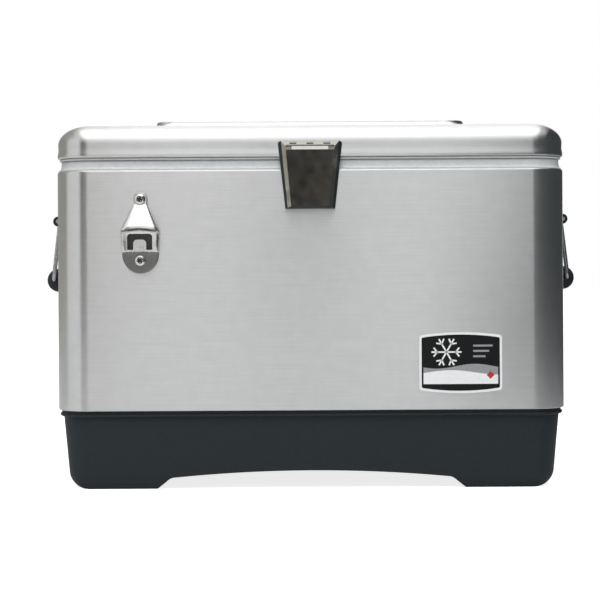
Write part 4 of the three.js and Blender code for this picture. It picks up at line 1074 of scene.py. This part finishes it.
def make_drain():
    """Spout, gasket, nut and pull plug."""
    low, high = span("drain_spout")
    axis = (low + high) / 2
    flange = span("drain_gasket")[1].x + 0.3
    spout = turned_on_x("drain_tube", [
        (8, low.x), (8, flange), (14, flange), (14, flange + 1.6), (13.2, flange + 2.5),
        (10, flange + 2.5), (10, high.x - 0.6), (9.4, high.x),
    ], axis)
    spout = eased(bored(spout, 6, low, high, axis), 0.3, 2)
    fit(spout, "cooler_body", white_plastic, ["drain_spout"])

    low, high = span("drain_gasket")
    profile = [(12.7, low.x), (13, low.x + 0.4), (13, high.x - 0.4), (12.7, high.x)]
    washer = bored(turned_on_x("drain_washer", profile, axis), drain_bore, low, high, axis)
    fit(washer, "cooler_body", grip_rubber, ["drain_gasket"])

    low, high = span("drain_nut")
    profile = [(11.4, low.x), (12, low.x + 0.6), (12, high.x)]
    nut = bored(turned_on_x("drain_hex_nut", profile, axis, 6), drain_bore, low, high, axis)
    fit(eased(nut, 0.4, 2), "cooler_body", white_plastic, ["drain_nut"])

    low, high = span("drain_plug_cap")
    seat = low.x + 13
    plug = turned_on_x("drain_pull_plug", [
        (4.9, low.x), (5.7, low.x + 1.2), (5.7, seat), (11, seat), (11.5, seat + 0.5), (11.5, seat + 2.2),
        (10.7, seat + 3), (6, seat + 3), (4.4, seat + 4), (4.4, high.x - 3), (5.5, high.x - 2),
        (5.5, high.x - 0.6), (4.9, high.x),
    ], axis)
    notches = []
    for step in range(12):
        angle = 2 * math.pi * step / 12
        place = (seat + 1.5, axis.y + 12.3 * math.cos(angle), axis.z + 12.3 * math.sin(angle))
        notches.append(turned("notch", [(1.3, -4), (1.3, 4)], place, (1, 0, 0), 12))
    plug = eased(combined(plug, notches), 0.25, 2)
    fit(plug, "drain_plug", white_plastic, ["drain_plug_cap"])


make_drain()


# Stage, in metres: a pale floor, a white surround, soft lamps and cards that only reflections see

def bare_tree(owner):
    """The empty node tree of a material or a world."""
    owner.use_nodes = True
    owner.node_tree.nodes.clear()
    return owner.node_tree


def make_card(name, corners, code, strength=1.0):
    """A sheet of one brightness that shows in reflections alone."""
    mesh = bpy.data.meshes.new(name)
    mesh.from_pydata(corners, [], [(0, 1, 2, 3)])
    card = new_object(name, mesh)
    paper = bpy.data.materials.new(name)
    tree = bare_tree(paper)
    glow = add_node(tree, "Emission", {"Color": rgb(code), "Strength": strength})
    add_node(tree, "OutputMaterial", {"Surface": glow.outputs[0]})
    paint(mesh, paper)
    for ray in ("camera", "diffuse", "shadow", "transmission", "volume_scatter"):
        setattr(card, f"visible_{ray}", False)


def around(name, start, end, high, code, apron=1.3):
    """An upright card and a sheet before it, between two bearings in degrees to the right of the front."""
    steps, distance, floor = 12, 2.6, 0.002
    for step in range(steps):
        corners = []
        for height, reach in ((floor, apron), (floor, distance), (high, distance)):
            for turn in (step, step + 1):
                angle = math.radians(start + (end - start) * turn / steps)
                corners.append((reach * math.sin(angle), -reach * math.cos(angle), height))
        make_card(f"{name} {step}", [corners[2], corners[3], corners[5], corners[4]], code)
        make_card(f"{name} apron {step}", [corners[0], corners[1], corners[3], corners[2]], code)


def light_sheet(name, place, aim, size, power):
    """A soft rectangular lamp that isn't seen in reflections."""
    lamp = bpy.data.lights.new(name, "AREA")
    lamp.shape = "RECTANGLE"
    lamp.size, lamp.size_y = size
    lamp.energy = power
    holder = new_object(name, lamp)
    holder.location = place
    holder.rotation_euler = (Vector(aim) - Vector(place)).to_track_quat("-Z", "Y").to_euler()
    holder.visible_glossy = False


def make_floor():
    """White paper that keeps the object's shadow."""
    bpy.ops.mesh.primitive_plane_add(size=30)
    floor = bpy.context.object
    floor.name = "floor"
    paper = bpy.data.materials.new("white paper floor")
    tree = bare_tree(paper)
    path = add_node(tree, "LightPath")
    straight = add_node(
        tree, "Math",
        {0: path.outputs["Is Camera Ray"], 1: path.outputs["Is Transmission Ray"]}, operation="ADD")
    # The lamps light the paper for reflections too, so these need less of the glow to see it white
    seen = add_node(
        tree, "Math", {0: path.outputs["Is Glossy Ray"], 1: 0.08, 2: straight.outputs[0]},
        operation="MULTIPLY_ADD", use_clamp=True)
    # The paper is lit from behind away from the object, so that only the shadow at its foot shows
    place = add_node(tree, "TexCoord")
    away = add_node(tree, "VectorMath", {0: place.outputs["Object"]}, operation="LENGTH")
    lit = add_node(
        tree, "MapRange",
        {"Value": away.outputs["Value"], "From Min": 0.25, "From Max": 0.9, "To Min": 0.81, "To Max": 1.0})
    lift = add_node(
        tree, "Math", {0: seen.outputs[0], 1: lit.outputs["Result"]}, operation="MULTIPLY")
    matt = add_node(tree, "BsdfDiffuse", {"Color": rgb("#d2d2d4")})
    glow = add_node(tree, "Emission", {"Color": rgb("#ffffff"), "Strength": lift.outputs[0]})
    both = add_node(tree, "AddShader", {0: matt.outputs[0], 1: glow.outputs[0]})
    add_node(tree, "OutputMaterial", {"Surface": both.outputs[0]})
    floor.data.materials.append(paper)


def make_surround():
    """White behind the object, a little dimmer in its reflections, and dimmer still as light on it."""
    scene.world = bpy.data.worlds.new("white surround")
    tree = bare_tree(scene.world)
    path = add_node(tree, "LightPath")
    seen = add_node(
        tree, "Math",
        {0: path.outputs["Is Camera Ray"], 1: path.outputs["Is Transmission Ray"]},
        operation="ADD", use_clamp=True)
    glossy = add_node(
        tree, "MapRange", {"Value": path.outputs["Is Glossy Ray"], "To Min": 0.4, "To Max": 0.97})
    strength = add_node(
        tree, "Math", {0: seen.outputs[0], 1: glossy.outputs["Result"]}, operation="MAXIMUM")
    sky = add_node(tree, "Background", {"Color": rgb("#ffffff"), "Strength": strength.outputs[0]})
    add_node(tree, "OutputWorld", {"Surface": sky.outputs[0]})


def make_lights():
    """Two lamps, and the cards that draw the light and dark bands on the metal."""
    light_sheet("overhead lamp", (0, -0.4, 2.4), (0, 0, 0.2), (2.6, 2.2), 45)
    light_sheet("front lamp", (-0.4, -2.0, 2.7), (0, 0, 0.25), (1.8, 1.0), 38)
    ceiling, rig_distance = 2.3, 2.7
    softbox = [(x, y, ceiling) for x, y in oblong(-1.1, -1.9, 1.1, 0.75)]
    make_card("overhead softbox", softbox, "#ffffff", 2.4)
    around("right pale flank", 3, 16, 2.2, "#f0f1f2")
    around("right dark wall", 17, 150, 3.2, "#484b4d", apron=0.6)
    around("left warm edge", -20, -17, 2.2, "#b4aea6")
    around("left warm card", -38, -20, 2.2, "#3a302a")
    around("left grey wall", -165, -84, 3.6, "#a3a099")
    rig = [(x, -rig_distance, z) for x, z in oblong(-0.2, 0.3, 0.2, 0.74)]
    make_card("camera rig", rig, "#1e1c1a")


def make_camera():
    """The camera at the photograph's place, with its slight roll."""
    camera = bpy.data.cameras.new("camera")
    camera.lens = 93.2
    camera.sensor_width = 36
    camera.shift_x = -0.0177
    camera.shift_y = -0.052
    camera.clip_start = 0.05
    holder = new_object("camera", camera)
    holder.location = (0, -1.947, 0.2487)
    holder.rotation_euler = (math.radians(90), math.radians(0.33), 0)
    scene.camera = holder


make_floor()
make_surround()
make_lights()
make_camera()
scene.view_settings.view_transform = "Standard"
